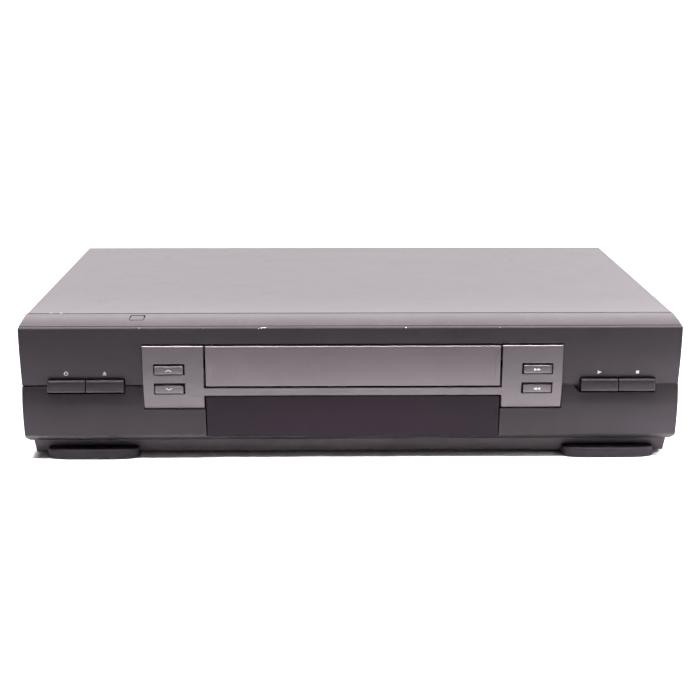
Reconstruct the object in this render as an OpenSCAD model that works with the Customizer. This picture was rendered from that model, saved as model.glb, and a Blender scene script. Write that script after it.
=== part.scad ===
// Front-loading video cassette recorder.
// +Z up, the front looks towards -Y, +X is to the viewer's right.
// Every shape below is drawn with Y = 0 at the crease of the front panel and
// Z = 0 at the underside of the feet; put() then centres the whole on the origin.

/* [Body] */
// Overall width of the case
body_w = 431; // [428:1:434]
// Depth from the front crease to the rear edge of the top cover
rear_y = 282; // [282:1:290]
// Height of the flat top above the table
top_z = 93.5; // [93.5:0.1:94.1]
// Height of the crease between the sloping ledge and the front
crease_z = 90; // [89.6:0.1:90.4]
// Sheet thickness of the steel top cover
cover_t = 0.8; // [0.6:0.1:1]
// Outside bend radius of the top cover
cover_r = 1.2; // [1:0.1:1.5]
// Wall of the moulded front panel
panel_t = 2.5; // [2.2:0.1:2.6]
// Depth of the sloping ledge
ledge_y = 28.5; // [28:0.1:29.5]

/* [Cassette opening] */
// Sideways offset of the cassette opening and the tape deck
mid_x = 1; // [0:0.5:2]
// Width of the flap
door_w = 192.4; // [191:0.2:193]
// Lower edge of the flap
door_z0 = 50.4; // [50.3:0.1:51]
// Upper edge of the flap and of the trim
door_z1 = 78.5; // [78.3:0.1:78.6]
// Height of the flap's hinge axis
hinge_z = 77; // [76.8:0.1:77.1]
// Distance of the flap's hinge axis behind the crease
hinge_y = 2.6; // [2.5:0.05:2.8]

/* [Trim and window] */
// Width of the metallic trim
trim_w = 274; // [272:1:276]
// Lower edge of the trim's two side blocks
trim_z0 = 34.8; // [34.6:0.1:35.4]
// Width of the display window
window_w = 193.2; // [192:0.2:194]
// Upper and lower edge of the display window
window_z1 = 43.4; // [43:0.1:43.6]
window_z0 = 15.0; // [14.9:0.1:15.2]

/* [Buttons] */
// Travel of every push button
press = 1; // [0.6:0.1:1]
// Width of one large button
big_w = 24.6; // [24:0.1:24.9]
// Height of one large button
big_h = 9.3; // [8.8:0.1:9.6]
// Width of one small button in the trim
small_w = 18.4; // [18:0.1:18.8]
// Height of one small button in the trim
small_h = 6.2; // [5.9:0.1:6.4]

/* [Tape deck] */
// How far the carriage draws the cassette in
draw_in = 52; // [50:0.5:52]
// How far the basket then lowers the cassette
drop = 20; // [18:0.5:20]
// Diameter of the head drum
drum_d = 62; // [61.5:0.1:62]
// Lean of the head drum, degrees
drum_tilt = 5.5; // [5:0.1:6]
// Distance between the two reel centres
reel_pitch = 92; // [91:0.5:93]

/* [Rear sockets] */
// Radius of the aerial sockets over their thread
aerial_r = 4.76; // [4.7:0.01:4.8]
// Outer radius of the audio and video jacks
jack_r = 4.15; // [4.1:0.01:4.2]

/* [Hidden] */
$fn = 64;
y_mid = (rear_y + 9.6 - 0.3) / 2;
hw = body_w / 2;
cass_w = 187; cass_d = 103; cass_h = 25;
floor_z = 49.6;              // level on which the cassette enters
deck_z = 23.5;               // top of the deck plate
drum_x = -5; drum_y = 196;
reel_y = 103;
idler_len = 19;
clutch_y = 140;
cap_x = 65; cap_y = 170;
pinch_x = 89; pinch_y = 200; pinch_len = 29.6; pinch_a = 256;
tens_x = -87; tens_y = 128; tens_dx = 24; tens_dy = 28;
gear_x = -81; gear_y = 208;
worm_x = -99.3;
shaft_y = 106; shaft_z = 82; pin_r = 6; // cross shaft and pinion pitch radius
rack_z = shaft_z - pin_r;
tooth_p = PI;                // rack tooth pitch for module 1
foot_xs = [-171.4, 171.6];
small_xs = [-120.15, 120.8];
small_zs = [61.85, 48.55];
jack_xs = [31, 51, 71];
jack_zs = [30, 50];
aerial_xs = [146, 178];
aerial_z = 36;

// ---- helpers ----------------------------------------------------------
module put() translate([0, -y_mid, 0]) children();
module deck() translate([mid_x, -y_mid, 0]) children();
module bx(x0, x1, y0, y1, z0, z1) translate([x0, y0, z0]) cube([x1 - x0, y1 - y0, z1 - z0]);
module cyl_z(x, y, z0, z1, r) translate([x, y, z0]) cylinder(h = z1 - z0, r = r);
module cyl_y(x, z, y0, y1, r) translate([x, y0, z]) rotate([-90, 0, 0]) cylinder(h = y1 - y0, r = r);
module cyl_x(y, z, x0, x1, r) translate([x0, y, z]) rotate([0, 90, 0]) cylinder(h = x1 - x0, r = r);
// an outline in (y, z), drawn out along X
module prism(x0, x1, pts) translate([x0, 0, 0]) rotate([90, 0, 90])
    linear_extrude(height = x1 - x0) polygon(pts);
module mirror_pair() { children(); mirror([1, 0, 0]) children(); }

// Height of the ledge at depth y, and set-back of the front at height z
function ledge_h(y) = top_z - 0.2 - (top_z - 0.2 - crease_z) * pow((ledge_y - y) / ledge_y, 1.15);
function front_y(z) =
    z > 90 ? 0 :
    z > 50.6 ? 4.5 * pow((90 - z) / 39.4, 1.9) :
    z > 37 ? 1.3 + 3.0 * pow((z - 37) / 13.4, 2) :
    1.3 + 3.1 * pow((37 - z) / 21, 1.35);
// Outline of a gear: n straight-sided teeth from radius r0 to r1, half as wide as
// h0 degrees at the root and h1 at the tip
function gear(n, r0, r1, h0, h1) = [for (i = [0:n - 1], k = [0:3])
    let (a = i * 360 / n + [-h0, -h1, h1, h0][k], r = k == 0 || k == 3 ? r0 : r1)
    [r * cos(a), r * sin(a)]];
// Points round an arc
function arc(cx, cy, r, a0, a1, n) = [for (i = [0:n]) let (a = a0 + (a1 - a0) * i / n)
    [cx + r * cos(a), cy + r * sin(a)]];
// The window stands in a slightly leaning plane; the trim and the flap share a surface
// that bulges a little in front of it
function plane_y(z) = 0.2 + (78.5 - z) * 3.1 / 43.5;
function trim_y(z) = let (t = (78.5 - z) / 43.5) plane_y(z) - 4.8 * t * (1 - t);

// ---- case -------------------------------------------------------------
module u_outline(e, r) {
    translate([-hw + e, 0]) square([body_w - 2 * e, top_z - e - r]);
    translate([-hw + e + r, 0]) square([body_w - 2 * (e + r), top_z - e]);
    for (s = [-1, 1]) translate([s * (hw - e - r), top_z - e - r]) circle(r);
}
module top_cover() {
    color([0.27, 0.26, 0.265]) put() {
        difference() {
            translate([0, rear_y, 0]) rotate([90, 0, 0])
                linear_extrude(height = rear_y - ledge_y - 0.2) difference() {
                    u_outline(0, cover_r);
                    u_outline(cover_t, cover_r - cover_t);
                    translate([-hw - 1, -1]) square([body_w + 2, 13]);
                }
            // cooling slots low on both sides
            for (i = [0:15]) bx(-hw - 2, hw + 2, 142 + i * 7, 145 + i * 7, 40, 66);
            for (y = [60, 240]) cyl_x(y, 22, -hw - 2, hw + 2, 1.7);
        }
        // rear lip with its screw holes
        difference() {
            bx(-hw + cover_t, hw - cover_t, rear_y - 0.8, rear_y, 84, top_z - cover_t);
            for (x = [-190, 0, 190]) cyl_y(x, 88.3, rear_y - 3, rear_y + 1, 1.7);
        }
    }
}

module front_panel() {
    ledge = [for (i = [0:14]) let (y = ledge_y - (ledge_y - 1.3) * i / 14) [y, ledge_h(y)]];
    nose = [[0.55, crease_z - 0.25], [0.15, crease_z - 0.8], [0, crease_z - 1.6]];
    upper = [for (z = [86:-1.8:50.7]) [front_y(z), z]];
    lower = [for (z = [50.2:-1.6:16.4]) [front_y(z), z]];
    outer = concat(ledge, nose, upper, lower, [[4.6, 16], [9.1, 11.5], [ledge_y, 11.5]]);
    inner = concat([for (i = [0:7]) let (y = ledge_y + 2 - (ledge_y - 1) * i / 7)
                        [y, (y > ledge_y ? top_z - 0.2 : ledge_h(y)) - panel_t]],
        [[panel_t, crease_z - panel_t - 1]],
        [for (z = [82:-2.7:50.7]) [front_y(z) + panel_t, z]],
        [for (z = [50:-3.3:17]) [front_y(z) + panel_t, z]],
        [[9, 14], [ledge_y + 2, 14]]);
    color([0.2, 0.19, 0.2]) put() difference() {
        intersection() {
            prism(-hw, hw, outer);
            // bevelled lower corners
            translate([0, ledge_y, 0]) rotate([90, 0, 0]) linear_extrude(height = ledge_y + 1)
                polygon([[-hw, 14.4], [-hw + 2.6, 11.4], [hw - 2.6, 11.4], [hw, 14.4],
                    [hw, 100], [-hw, 100]]);
        }
        prism(-hw + panel_t, hw - panel_t, inner);
        bx(-hw + 3.7, hw - 3.7, 12.3, ledge_y + 1, 10, 14.2);
        // openings for the trim and flap, and for the window
        translate([mid_x, 0, 0]) {
            bx(-trim_w / 2 - 0.3, trim_w / 2 + 0.3, -2, 12, trim_z0 - 0.3, 79.55);
            bx(-window_w / 2 - 0.3, window_w / 2 + 0.3, -2, 12, window_z0 - 0.2, 40);
            // openings for the two pairs of large buttons
            mirror_pair() bx(-199.9, -149.1, -2, 12, 45.0, 55.1);
        }
        // groove between the bands, open on the left, a short pocket on the right
        bx(-hw - 1, -135, -2, 6.4, 49.75, 50.65);
        translate([0, 6.2, 0]) rotate([90, 0, 0]) linear_extrude(height = 8.2)
            polygon([[146.6, 50.3], [151, 50.9], [151, 45.3], [149.7, 45.5], [148.3, 46.8], [147.2, 48.6]]);
        // outlined mark on the ledge
        translate([-141, 19.4, 0]) difference() {
            bx(-5, 5, -5.2, 5.2, 91, 95);
            bx(-4.4, 4.4, -4.6, 4.6, 90, 96);
            bx(-6, 6, -6, 6, 88, 91.7);
        }
    }
}

module main_frame() {
    rw = hw - 4;
    color([0.17, 0.16, 0.165]) put() difference() {
        union() {
            difference() {
                bx(-rw, rw, 12.4, rear_y - 2.5, 1.8, 30);
                bx(-rw + 3, rw - 3, 16.4, rear_y - 5, 1, 31);
                // the lower rim is notched over the feet
                for (x = foot_xs) bx(x - 31, x + 31, 10, 30, 1, 3);
                bx(-rw - 1, rw + 1, 0, 31, 13.6, 31);
                bx(-rw + 2, rw - 2, rear_y - 6, rear_y, 12.3, 31);
                // the front and the sides draw in towards the table
                prism(-rw - 1, rw + 1, [[12.4, 11.4], [11, 11.4], [11, 1], [14.38, 1]]);
                mirror_pair() translate([0, rear_y, 0]) rotate([90, 0, 0])
                    linear_extrude(height = rear_y) polygon([[rw, 11.4], [rw - 1.5, 1],
                        [rw + 2, 1], [rw + 2, 11.4]]);
            }
            difference() {
                bx(-rw + 2, rw - 2, 14, rear_y - 4, 4.2, 6.2);
                bx(-150, 150, 58, 226, 3, 8);
            }
            // posts under the deck and under the boards
            translate([mid_x, 0, 0]) for (p = [[-97, 46], [97, 46], [-60, 234], [97, 234]])
                cyl_z(p[0], p[1], 6, deck_z - 1.5, 4);
            for (p = [[-198, 112], [-120, 262], [198, 40], [198, 262]]) cyl_z(p[0], p[1], 6, 12, 3.5);
            // stiffening ribs
            for (x = [-180, 180]) bx(x - 1, x + 1, 30, 100, 6, 10);
        }
        for (y = [60, 240]) cyl_x(y, 22, -hw - 2, hw + 2, 1.6);
        for (x = [-60, 0, 60], y = [50, 252]) cyl_z(x, y, 2, 8, 1.7);
    }
}

module bottom_plate() {
    color([0.45, 0.45, 0.46]) put() difference() {
        bx(-205, 205, 46, rear_y - 14, 3.2, 4.2);
        for (i = [0:11], s = [-1, 1]) bx(s * 95 - 35, s * 95 + 35, 100 + i * 8, 103 + i * 8, 2, 5);
        for (x = [-60, 0, 60], y = [50, 252]) cyl_z(x, y, 2, 8, 1.7);
    }
}

module rear_panel() {
    color([0.3, 0.3, 0.31]) put() difference() {
        translate([0, rear_y - 0.8, 0]) rotate([90, 0, 0]) linear_extrude(height = 1.6)
            polygon([[-hw + 1.1, 12.4], [hw - 1.1, 12.4], [hw - 1.1, top_z - 2.1], [hw - 2.1, top_z - 1.1],
                [-hw + 2.1, top_z - 1.1], [-hw + 1.1, top_z - 2.1]]);
        for (x = [-190, 0, 190]) cyl_y(x, 88.3, rear_y - 4, rear_y + 1, 1.7);
        for (x = jack_xs, z = jack_zs) cyl_y(x, z, rear_y - 4, rear_y, 6.5);
        for (x = aerial_xs) cyl_y(x, aerial_z, rear_y - 4, rear_y, 5);
        bx(-182, -158, rear_y - 4, rear_y, 22, 38);
        for (i = [0:13]) bx(-120 + i * 8, -116 + i * 8, rear_y - 4, rear_y, 46, 74);
    }
}

module foot_outline() {
    // wide oval front, straight back
    polygon(concat([for (i = [0:32]) let (t = 180 + 180 * i / 32)
        [30.4 * sign(cos(t)) * pow(abs(cos(t)), 0.6), -0.5 - 9.5 * pow(abs(sin(t)), 0.6)]],
        [[30.4, 29], [-30.4, 29]]));
}
module front_foot(x) {
    translate([x, 12, 0]) {
        linear_extrude(height = 3) foot_outline();
        linear_extrude(height = 6.7) intersection() {
            foot_outline();
            translate([-40, -20]) square([80, 20.2]);
        }
    }
}
module front_foot_left() { color([0.22, 0.21, 0.22]) put() front_foot(foot_xs[0]); }
module front_foot_right() { color([0.22, 0.21, 0.22]) put() front_foot(foot_xs[1]); }
module rear_feet() {
    color([0.12, 0.12, 0.12]) put() for (x = [-172, 172]) difference() {
        cyl_z(x, 250, 0, 3.2, 9);
        cyl_z(x, 250, -1, 1.2, 3);
    }
}

module screw_x(s, y) {
    cyl_x(y, 22, s > 0 ? hw : -hw - 1.4, s > 0 ? hw + 1.4 : -hw, 3.2);
    cyl_x(y, 22, s > 0 ? hw - 8.5 : -hw, s > 0 ? hw : -hw + 8.5, 1.5);
}
module case_screws() {
    color([0.15, 0.15, 0.16]) put() {
        for (s = [-1, 1], y = [60, 240]) difference() {
            screw_x(s, y);
            bx(s > 0 ? hw + 0.6 : -hw - 2, s > 0 ? hw + 2 : -hw - 0.6, y - 2, y + 2, 21.6, 22.4);
            bx(s > 0 ? hw + 0.6 : -hw - 2, s > 0 ? hw + 2 : -hw - 0.6, y - 0.4, y + 0.4, 20, 24);
        }
        for (x = [-190, 0, 190]) difference() {
            union() {
                cyl_y(x, 88.3, rear_y, rear_y + 1.4, 3.2);
                cyl_y(x, 88.3, rear_y - 7, rear_y, 1.5);
            }
            bx(x - 2, x + 2, rear_y + 0.6, rear_y + 2, 87.9, 88.7);
            bx(x - 0.4, x + 0.4, rear_y + 0.6, rear_y + 2, 86.3, 90.3);
        }
        for (x = [-60, 0, 60], y = [50, 252]) {
            cyl_z(x, y, 1.9, 3.2, 3.2);
            cyl_z(x, y, 3.2, 7.5, 1.5);
        }
    }
}

// ---- cassette opening -------------------------------------------------
// a plate in the trim's plane, from z0 to z1, t thick, set back by s
module leaf(x0, x1, z0, z1, s, t)
    prism(x0, x1, concat([for (i = [0:10]) let (z = z1 + (z0 - z1) * i / 10) [trim_y(z) + s, z]],
        [for (i = [0:10]) let (z = z0 + (z1 - z0) * i / 10) [trim_y(z) + s + t, z]]));

module trim_panel() {
    tw = trim_w / 2;
    color([0.52, 0.5, 0.51]) deck() difference() {
        union() {
            difference() {
                leaf(-tw, tw, trim_z0, door_z1, 0, 2.4);
                bx(-97.6, 97.6, -5, 12, floor_z - 0.4, 90);
                bx(-97.6, 97.6, -5, 12, 30, 43.8);
            }
            // throat on which the cassette slides in
            bx(-97, 97, 2.5, 29.5, 46.8, floor_z - 0.1);
            for (s = [-1, 1]) {
                // hinge ears and the clips behind the panel
                bx(s > 0 ? 97.2 : -102, s > 0 ? 102 : -97.2, 1.2, 6.3, 69, door_z1);
                bx(s > 0 ? tw - 2 : -tw, s > 0 ? tw : -tw + 2, 2, 9, 38, 77);
                bx(s > 0 ? tw - 2 : -tw - 3, s > 0 ? tw + 3 : -tw + 2, 8, 9, 38, 77);
                // throat cheeks
                bx(s > 0 ? 96.9 : -99.3, s > 0 ? 99.3 : -96.9, 2.3, 29.5, 46.65, 62);
            }
            // post of the flap spring
            cyl_x(9, 66, -104, -98, 1.4);
            bx(-99.4, -97.8, 2, 11, 63.5, 70);
        }
        for (s = [-1, 1]) cyl_x(hinge_y, hinge_z, s > 0 ? 97 : -99.8, s > 0 ? 99.8 : -97, 1.28);
        for (x = small_xs, zc = small_zs)
            bx(x - small_w / 2 - 0.8, x + small_w / 2 + 0.8, -3, 8,
                zc - small_h / 2 - 0.4, zc + small_h / 2 + 0.75);
    }
}

module cassette_door() {
    color([0.5, 0.48, 0.49]) deck() {
        leaf(-door_w / 2, door_w / 2, door_z0, door_z1, 0, 2.6);
        for (s = [-1, 1]) {
            cyl_x(hinge_y, hinge_z, s > 0 ? 92 : -96, s > 0 ? 96 : -92, 1.9);
            cyl_x(hinge_y, hinge_z, s > 0 ? 95.9 : -99.2, s > 0 ? 99.2 : -95.9, 1.2);
        }
        // stiffening ribs on the inside
        for (x = [-60, 0, 60]) bx(x - 0.6, x + 0.6, 2.4, 4.6, 54, 74);
    }
}

module door_spring() {
    color([0.7, 0.7, 0.72]) deck() {
        difference() {
            cyl_x(9, 66, -103.4, -100.2, 2.3);
            cyl_x(9, 66, -105, -98, 1.5);
        }
        translate([-100.6, 9, 66]) rotate([20, 0, 0]) bx(-0.35, 0.35, 1.6, 2.3, 0, 10);
        translate([-103, 9, 66]) rotate([150, 0, 0]) bx(-0.35, 0.35, 1.6, 2.3, 0, 5.6);
    }
}

module display_window() {
    ww = window_w / 2;
    color([0.23, 0.2, 0.23]) deck() {
        prism(-ww, ww, [[plane_y(window_z1) + 0.15, window_z1], [plane_y(window_z0) + 0.15, window_z0],
            [plane_y(window_z0) + 2.35, window_z0], [plane_y(window_z1) + 2.35, window_z1]]);
        for (s = [-1, 1]) bx(s > 0 ? ww - 3 : -ww, s > 0 ? ww : -ww + 3, 4, 9, 18, 32);
    }
}

// ---- buttons ----------------------------------------------------------
// A large button: bevelled cap, flange that keeps it behind the panel, and stem.
// The flange is open towards its neighbour.
module big_button(x0, x1, out) {
    z0 = 50.05 - big_h / 2;
    z1 = 50.05 + big_h / 2;
    color([0.25, 0.24, 0.25]) deck() {
        prism(x0, x1, [[9.6, z0], [0.3, z0], [-0.3, z0 + 0.8], [-0.3, z1 - 1.5],
            [1.3, z1], [9.6, z1]]);
        bx(out < 0 ? x0 - 1.4 : x0, out < 0 ? x1 : x1 + 1.4, 8.4, 9.6, z0 - 1.4, z1 + 1.4);
        bx((x0 + x1) / 2 - 2, (x0 + x1) / 2 + 2, 9.5, 15.4, 48.5, 51.5);
    }
}
module power_button() big_button(-175.2 - big_w + 0.3, -174.9, -1);
module eject_button() big_button(-174.3, -174.3 + big_w, 1);
module play_button() big_button(174.3 - big_w, 174.3, -1);
module stop_button() big_button(174.9, 174.9 + big_w, 1);

// A small button in the trim, raised half a millimetre
module small_button(x, zc) {
    z0 = zc - small_h / 2;
    z1 = zc + small_h / 2;
    color([0.45, 0.43, 0.44]) deck() {
        prism(x - small_w / 2, x + small_w / 2,
            [[7.2, z0], [trim_y(z0) - 0.4, z0], [trim_y(z1 - 1.2) - 0.4, z1 - 1.2],
                [trim_y(z1) + 0.5, z1], [7.2, z1]]);
        bx(x - small_w / 2 - 1.5, x + small_w / 2 + 1.5, 6, 7.2, z0 - 1.3, z1 + 1.3);
        bx(x - 2, x + 2, 7.1, 15.4, zc - 1.5, zc + 1.5);
    }
}
module channel_up_button() small_button(small_xs[0], small_zs[0]);
module channel_down_button() small_button(small_xs[0], small_zs[1]);
module fast_forward_button() small_button(small_xs[1], small_zs[0]);
module rewind_button() small_button(small_xs[1], small_zs[1]);

// ---- rear sockets -----------------------------------------------------
module rf_connectors() {
    color([0.75, 0.75, 0.76]) put() for (x = aerial_xs) difference() {
        union() {
            cyl_y(x, aerial_z, rear_y - 2.4, rear_y + 9.6, aerial_r);
            translate([x, rear_y - 0.8, aerial_z]) rotate([-90, 0, 0])
                cylinder(h = 2.2, r = 6.9, $fn = 6);
        }
        cyl_y(x, aerial_z, rear_y + 1, rear_y + 10, 0.9);
        difference() {
            cyl_y(x, aerial_z, rear_y + 8.6, rear_y + 10, 3.9);
            cyl_y(x, aerial_z, rear_y + 8, rear_y + 11, 2.6);
        }
    }
}
module av_jack_block() {
    color([0.1, 0.1, 0.1]) put() bx(21, 81, rear_y - 20, rear_y - 2.4, 20, 60);
}
module av_jack_sleeves() {
    color([0.78, 0.76, 0.7]) put() for (x = jack_xs, z = jack_zs) difference() {
        union() {
            cyl_y(x, z, rear_y - 2.4, rear_y + 1.2, 4.6);
            cyl_y(x, z, rear_y + 1.1, rear_y + 8.4, jack_r);
        }
        cyl_y(x, z, rear_y - 3, rear_y + 9, 3.4);
    }
}
module av_jack_inserts() {
    color([0.9, 0.85, 0.6]) put() for (x = jack_xs, z = jack_zs) {
        difference() {
            cyl_y(x, z, rear_y - 2.4, rear_y + 1.2, 6.4);
            cyl_y(x, z, rear_y - 3, rear_y + 2, 4.65);
        }
        difference() {
            cyl_y(x, z, rear_y - 2.4, rear_y + 7.4, 3.35);
            cyl_y(x, z, rear_y - 1, rear_y + 8, 1.65);
        }
    }
}
module power_inlet() {
    color([0.08, 0.08, 0.08]) put() {
        difference() {
            union() {
                bx(-181.5, -158.5, rear_y - 16, rear_y - 0.8, 22.5, 37.5);
                bx(-184, -156, rear_y - 0.8, rear_y + 0.8, 20.5, 39.5);
            }
            bx(-177, -163, rear_y - 12, rear_y + 2, 26.5, 33.5);
        }
        for (s = [-1, 1]) cyl_y(-170 + s * 4.6, 30, rear_y - 13, rear_y - 2, 1.2);
    }
}

// ---- boards -----------------------------------------------------------
module front_board() {
    color([0.55, 0.42, 0.25]) deck() difference() {
        union() {
            bx(-205, -104.5, 20, 21.6, 15, 70);
            bx(104.5, 203, 20, 21.6, 15, 70);
            bx(-105, 105, 20, 21.6, 15, 46.5);
        }
        for (s = [-1, 1]) cyl_y(s * 198, 66, 18, 24, 1.6);
    }
}
module display_tube() {
    color([0.16, 0.2, 0.2]) deck() {
        bx(-58, 58, 9, 15, 18, 40);
        for (i = [0:21]) bx(-53 + i * 5, -52.4 + i * 5, 14.5, 20, 18.6, 19.2);
    }
}
module tact_switches() {
    color([0.12, 0.12, 0.13]) deck()
        for (p = [[-187.2, 50], [-162, 50], [162, 50], [187.2, 50],
                for (x = small_xs, z = small_zs) [x, z]]) {
            bx(p[0] - 3, p[0] + 3, 17.4, 20, p[1] - 3, p[1] + 3);
            cyl_y(p[0], p[1], 16.8, 17.4, 1.6);
        }
}
module remote_sensor() {
    color([0.1, 0.08, 0.1]) deck() {
        bx(74, 84, 13, 18.5, 24, 36);
        cyl_y(79, 31, 10.5, 13.1, 2.8);
        for (i = [-1:1]) bx(79 + i * 2.5 - 0.3, 79 + i * 2.5 + 0.3, 18.4, 20, 25, 25.6);
    }
}
module main_board() {
    color([0.5, 0.4, 0.22]) put() {
        bx(110, 206, 30, rear_y - 8, 12, 13.6);
        bx(-100, 110.1, 252, rear_y - 8, 12, 13.6);
        // packaged circuits and small parts
        for (p = [[125, 60, 22, 8], [160, 60, 14, 14], [130, 100, 30, 9], [172, 110, 16, 16],
                [135, 150, 18, 18], [170, 160, 12, 26], [-60, 254, 26, 8], [-20, 254, 12, 12]])
            bx(p[0], p[0] + p[2], p[1], p[1] + p[3], 13.5, 17);
        for (p = [[120, 85], [155, 90], [190, 90], [195, 140], [125, 190], [155, 195]])
            cyl_z(p[0], p[1], 13.5, 25, 4);
    }
}
module tuner_can() {
    color([0.72, 0.73, 0.74]) put() bx(130, 194, rear_y - 72, rear_y - 2.4, 16, 56);
}
module power_board() {
    color([0.5, 0.4, 0.22]) put() {
        bx(-206, -113, 100, rear_y - 8, 12, 13.6);
        // finned heat sink with its transistor, fuse and small parts
        bx(-124, -121, 140, 190, 13.5, 52);
        for (i = [0:5]) bx(-121.1, -114, 142 + i * 9, 143.2 + i * 9, 13.5, 50);
        bx(-128, -124, 158, 170, 22, 40);
        bx(-200, -180, 112, 118, 13.5, 20);
        for (p = [[-150, 120], [-135, 124], [-195, 240]]) cyl_z(p[0], p[1], 13.5, 32, 5);
    }
}
module power_transformer() {
    color([0.75, 0.62, 0.2]) put() {
        bx(-192, -156, 150, 184, 13.6, 20);
        bx(-188, -160, 156, 178, 20, 44);
        bx(-180, -168, 150, 184, 20, 46);
    }
}
module main_capacitor() {
    color([0.12, 0.13, 0.2]) put() difference() {
        cyl_z(-170, 210, 13.6, 46, 12.5);
        for (a = [0, 90]) translate([-170, 210, 46]) rotate([0, 0, a]) bx(-8, 8, -0.4, 0.4, -0.6, 1);
    }
}

// ---- carriage ---------------------------------------------------------
// a round-ended slot through the deck plate, as a polygon
module slot_hole(x0, y0, x1, y1, r) {
    a = atan2(y1 - y0, x1 - x0);
    translate([0, 0, 20]) linear_extrude(height = 6)
        polygon(concat(arc(x0, y0, r, a + 90, a + 270, 14), arc(x1, y1, r, a - 90, a + 90, 14)));
}
module deck_chassis() {
    rp = reel_pitch / 2;
    color([0.66, 0.67, 0.69]) deck() {
        difference() {
            bx(-105, 105, 36, 240, deck_z - 1.5, deck_z);
            bx(-106, -88, 222, 241, 20, 26);
            slot_hole(-35, 150, -51, 212, 2.3);
            slot_hole(35, 150, 43, 208, 2.3);
            cyl_z(cap_x, cap_y, 20, 26, 4.2);
            cyl_z(0, clutch_y, 20, 26, 1.56);
            // lightening windows
            bx(-64, -28, 44, 66, 20, 26);
            bx(28, 64, 44, 66, 20, 26);
        }
        for (s = [-1, 1]) cyl_z(s * rp, reel_y, deck_z - 0.5, 38, 2);
        cyl_z(pinch_x, pinch_y, deck_z - 0.5, 30, 2);
        cyl_z(tens_x, tens_y, deck_z - 0.5, 27.6, 1.5);
        cyl_z(gear_x, gear_y, deck_z - 0.5, 31, 2);
        // bracket that carries the loading motor
        bx(-110, -88.2, 225, 226.8, deck_z - 1.5, 24);
        bx(-94, -88.2, 218, 226, deck_z - 1.5, deck_z);
    }
}
module carriage_side(s) {
    x0 = s > 0 ? 102.5 : -104;
    difference() {
        bx(x0, x0 + 1.5, 31, 166, deck_z, 88);
        // L-shaped tracks beside the basket's pins: in, then down
        for (y = [52, 98]) {
            bx(x0 - 1, x0 + 3, y, y + draw_in * 0.78, 62, 66);
            bx(x0 - 1, x0 + 3, y + draw_in * 0.78 - 4, y + draw_in * 0.78, 64 - drop, 66);
        }
        cyl_x(shaft_y, shaft_z, x0 - 1, x0 + 3, 2.56);
        bx(x0 - 1, x0 + 3, 60, 140, 18, 30);
    }
}
module carriage_sides() { color([0.7, 0.71, 0.72]) deck() for (s = [-1, 1]) carriage_side(s); }
module carriage_bridge() {
    color([0.7, 0.71, 0.72]) deck() for (r = [[31, 64], [128, 166]]) {
        difference() {
            bx(-104, 104, r[0], r[1], 88, 89.2);
            for (x = [-60, 0, 60]) bx(x - 18, x + 18, r[0] + 9, r[1] - 9, 87, 91);
        }
    }
}
module rack_tooth(y) prism(0, 1.5, [[y - 1.05, rack_z - 1.2], [y - 0.75, rack_z - 1.2],
    [y - 0.34, rack_z + 0.8], [y + 0.34, rack_z + 0.8], [y + 0.75, rack_z - 1.2],
    [y + 1.05, rack_z - 1.2], [y + 1.05, rack_z - 1.6], [y - 1.05, rack_z - 1.6]]);
module slider(s) {
    x0 = s > 0 ? 100.4 : -101.9;
    difference() {
        bx(x0, x0 + 1.5, 42, 119, 38, rack_z - 1.25);
        // upright slots for the basket's pins
        for (y = [52, 98]) {
            bx(x0 - 1, x0 + 3, y - 1.9, y + 1.9, 64 - drop, 64);
            cyl_x(y, 64, x0 - 1, x0 + 3, 1.9);
            cyl_x(y, 64 - drop, x0 - 1, x0 + 3, 1.9);
        }
        bx(x0 - 1, x0 + 3, 60, 90, 44, 66);
    }
    translate([x0, 0, 0]) for (i = [-18:3]) rack_tooth(shaft_y + (i + 0.5) * tooth_p);
}
module carriage_sliders() { color([0.85, 0.85, 0.83]) deck() for (s = [-1, 1]) slider(s); }
module cassette_basket() {
    top = floor_z + cass_h + 1;
    color([0.68, 0.69, 0.71]) deck() {
        for (s = [-1, 1]) {
            bx(s > 0 ? 94.5 : -96, s > 0 ? 96 : -94.5, 31.5, 110.5, floor_z - 1.5, top + 1.2);
            bx(s > 0 ? 80 : -95, s > 0 ? 95 : -80, 31.5, 110.5, floor_z - 1.5, floor_z);
            bx(s > 0 ? 84 : -95, s > 0 ? 95 : -84, 109, 110.5, floor_z - 1.5, floor_z + 9);
            for (y = [52, 98]) cyl_x(y, 64, s > 0 ? 95.9 : -102.2, s > 0 ? 102.2 : -95.9, 1.6);
        }
        difference() {
            bx(-96, 96, 31.5, 108.5, top, top + 1.2);
            for (x = [-54, 0, 54]) bx(x - 20, x + 20, 50, 92, top - 1, top + 3);
        }
        // spring fingers that hold the cassette down
        for (x = [-54, 0, 54]) bx(x - 3, x + 3, 50, 92, top + 0.3, top + 0.9);
    }
}
module pinion() {
    // twelve narrow teeth of module 1, one tooth pointing straight down into the rack
    linear_extrude(height = 1.5) polygon(gear(12, pin_r - 1.15, pin_r + 0.75, 8.5, 2.6));
}
module loading_shaft() {
    color([0.8, 0.8, 0.82]) deck() {
        cyl_x(shaft_y, shaft_z, -104.3, 104.3, 2.5);
        // local +X of a pinion points down, so that a tooth stands in a gap of the rack
        for (x = [-101.9, 100.4]) translate([x, shaft_y, shaft_z]) rotate([0, 90, 0]) pinion();
    }
}

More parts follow.
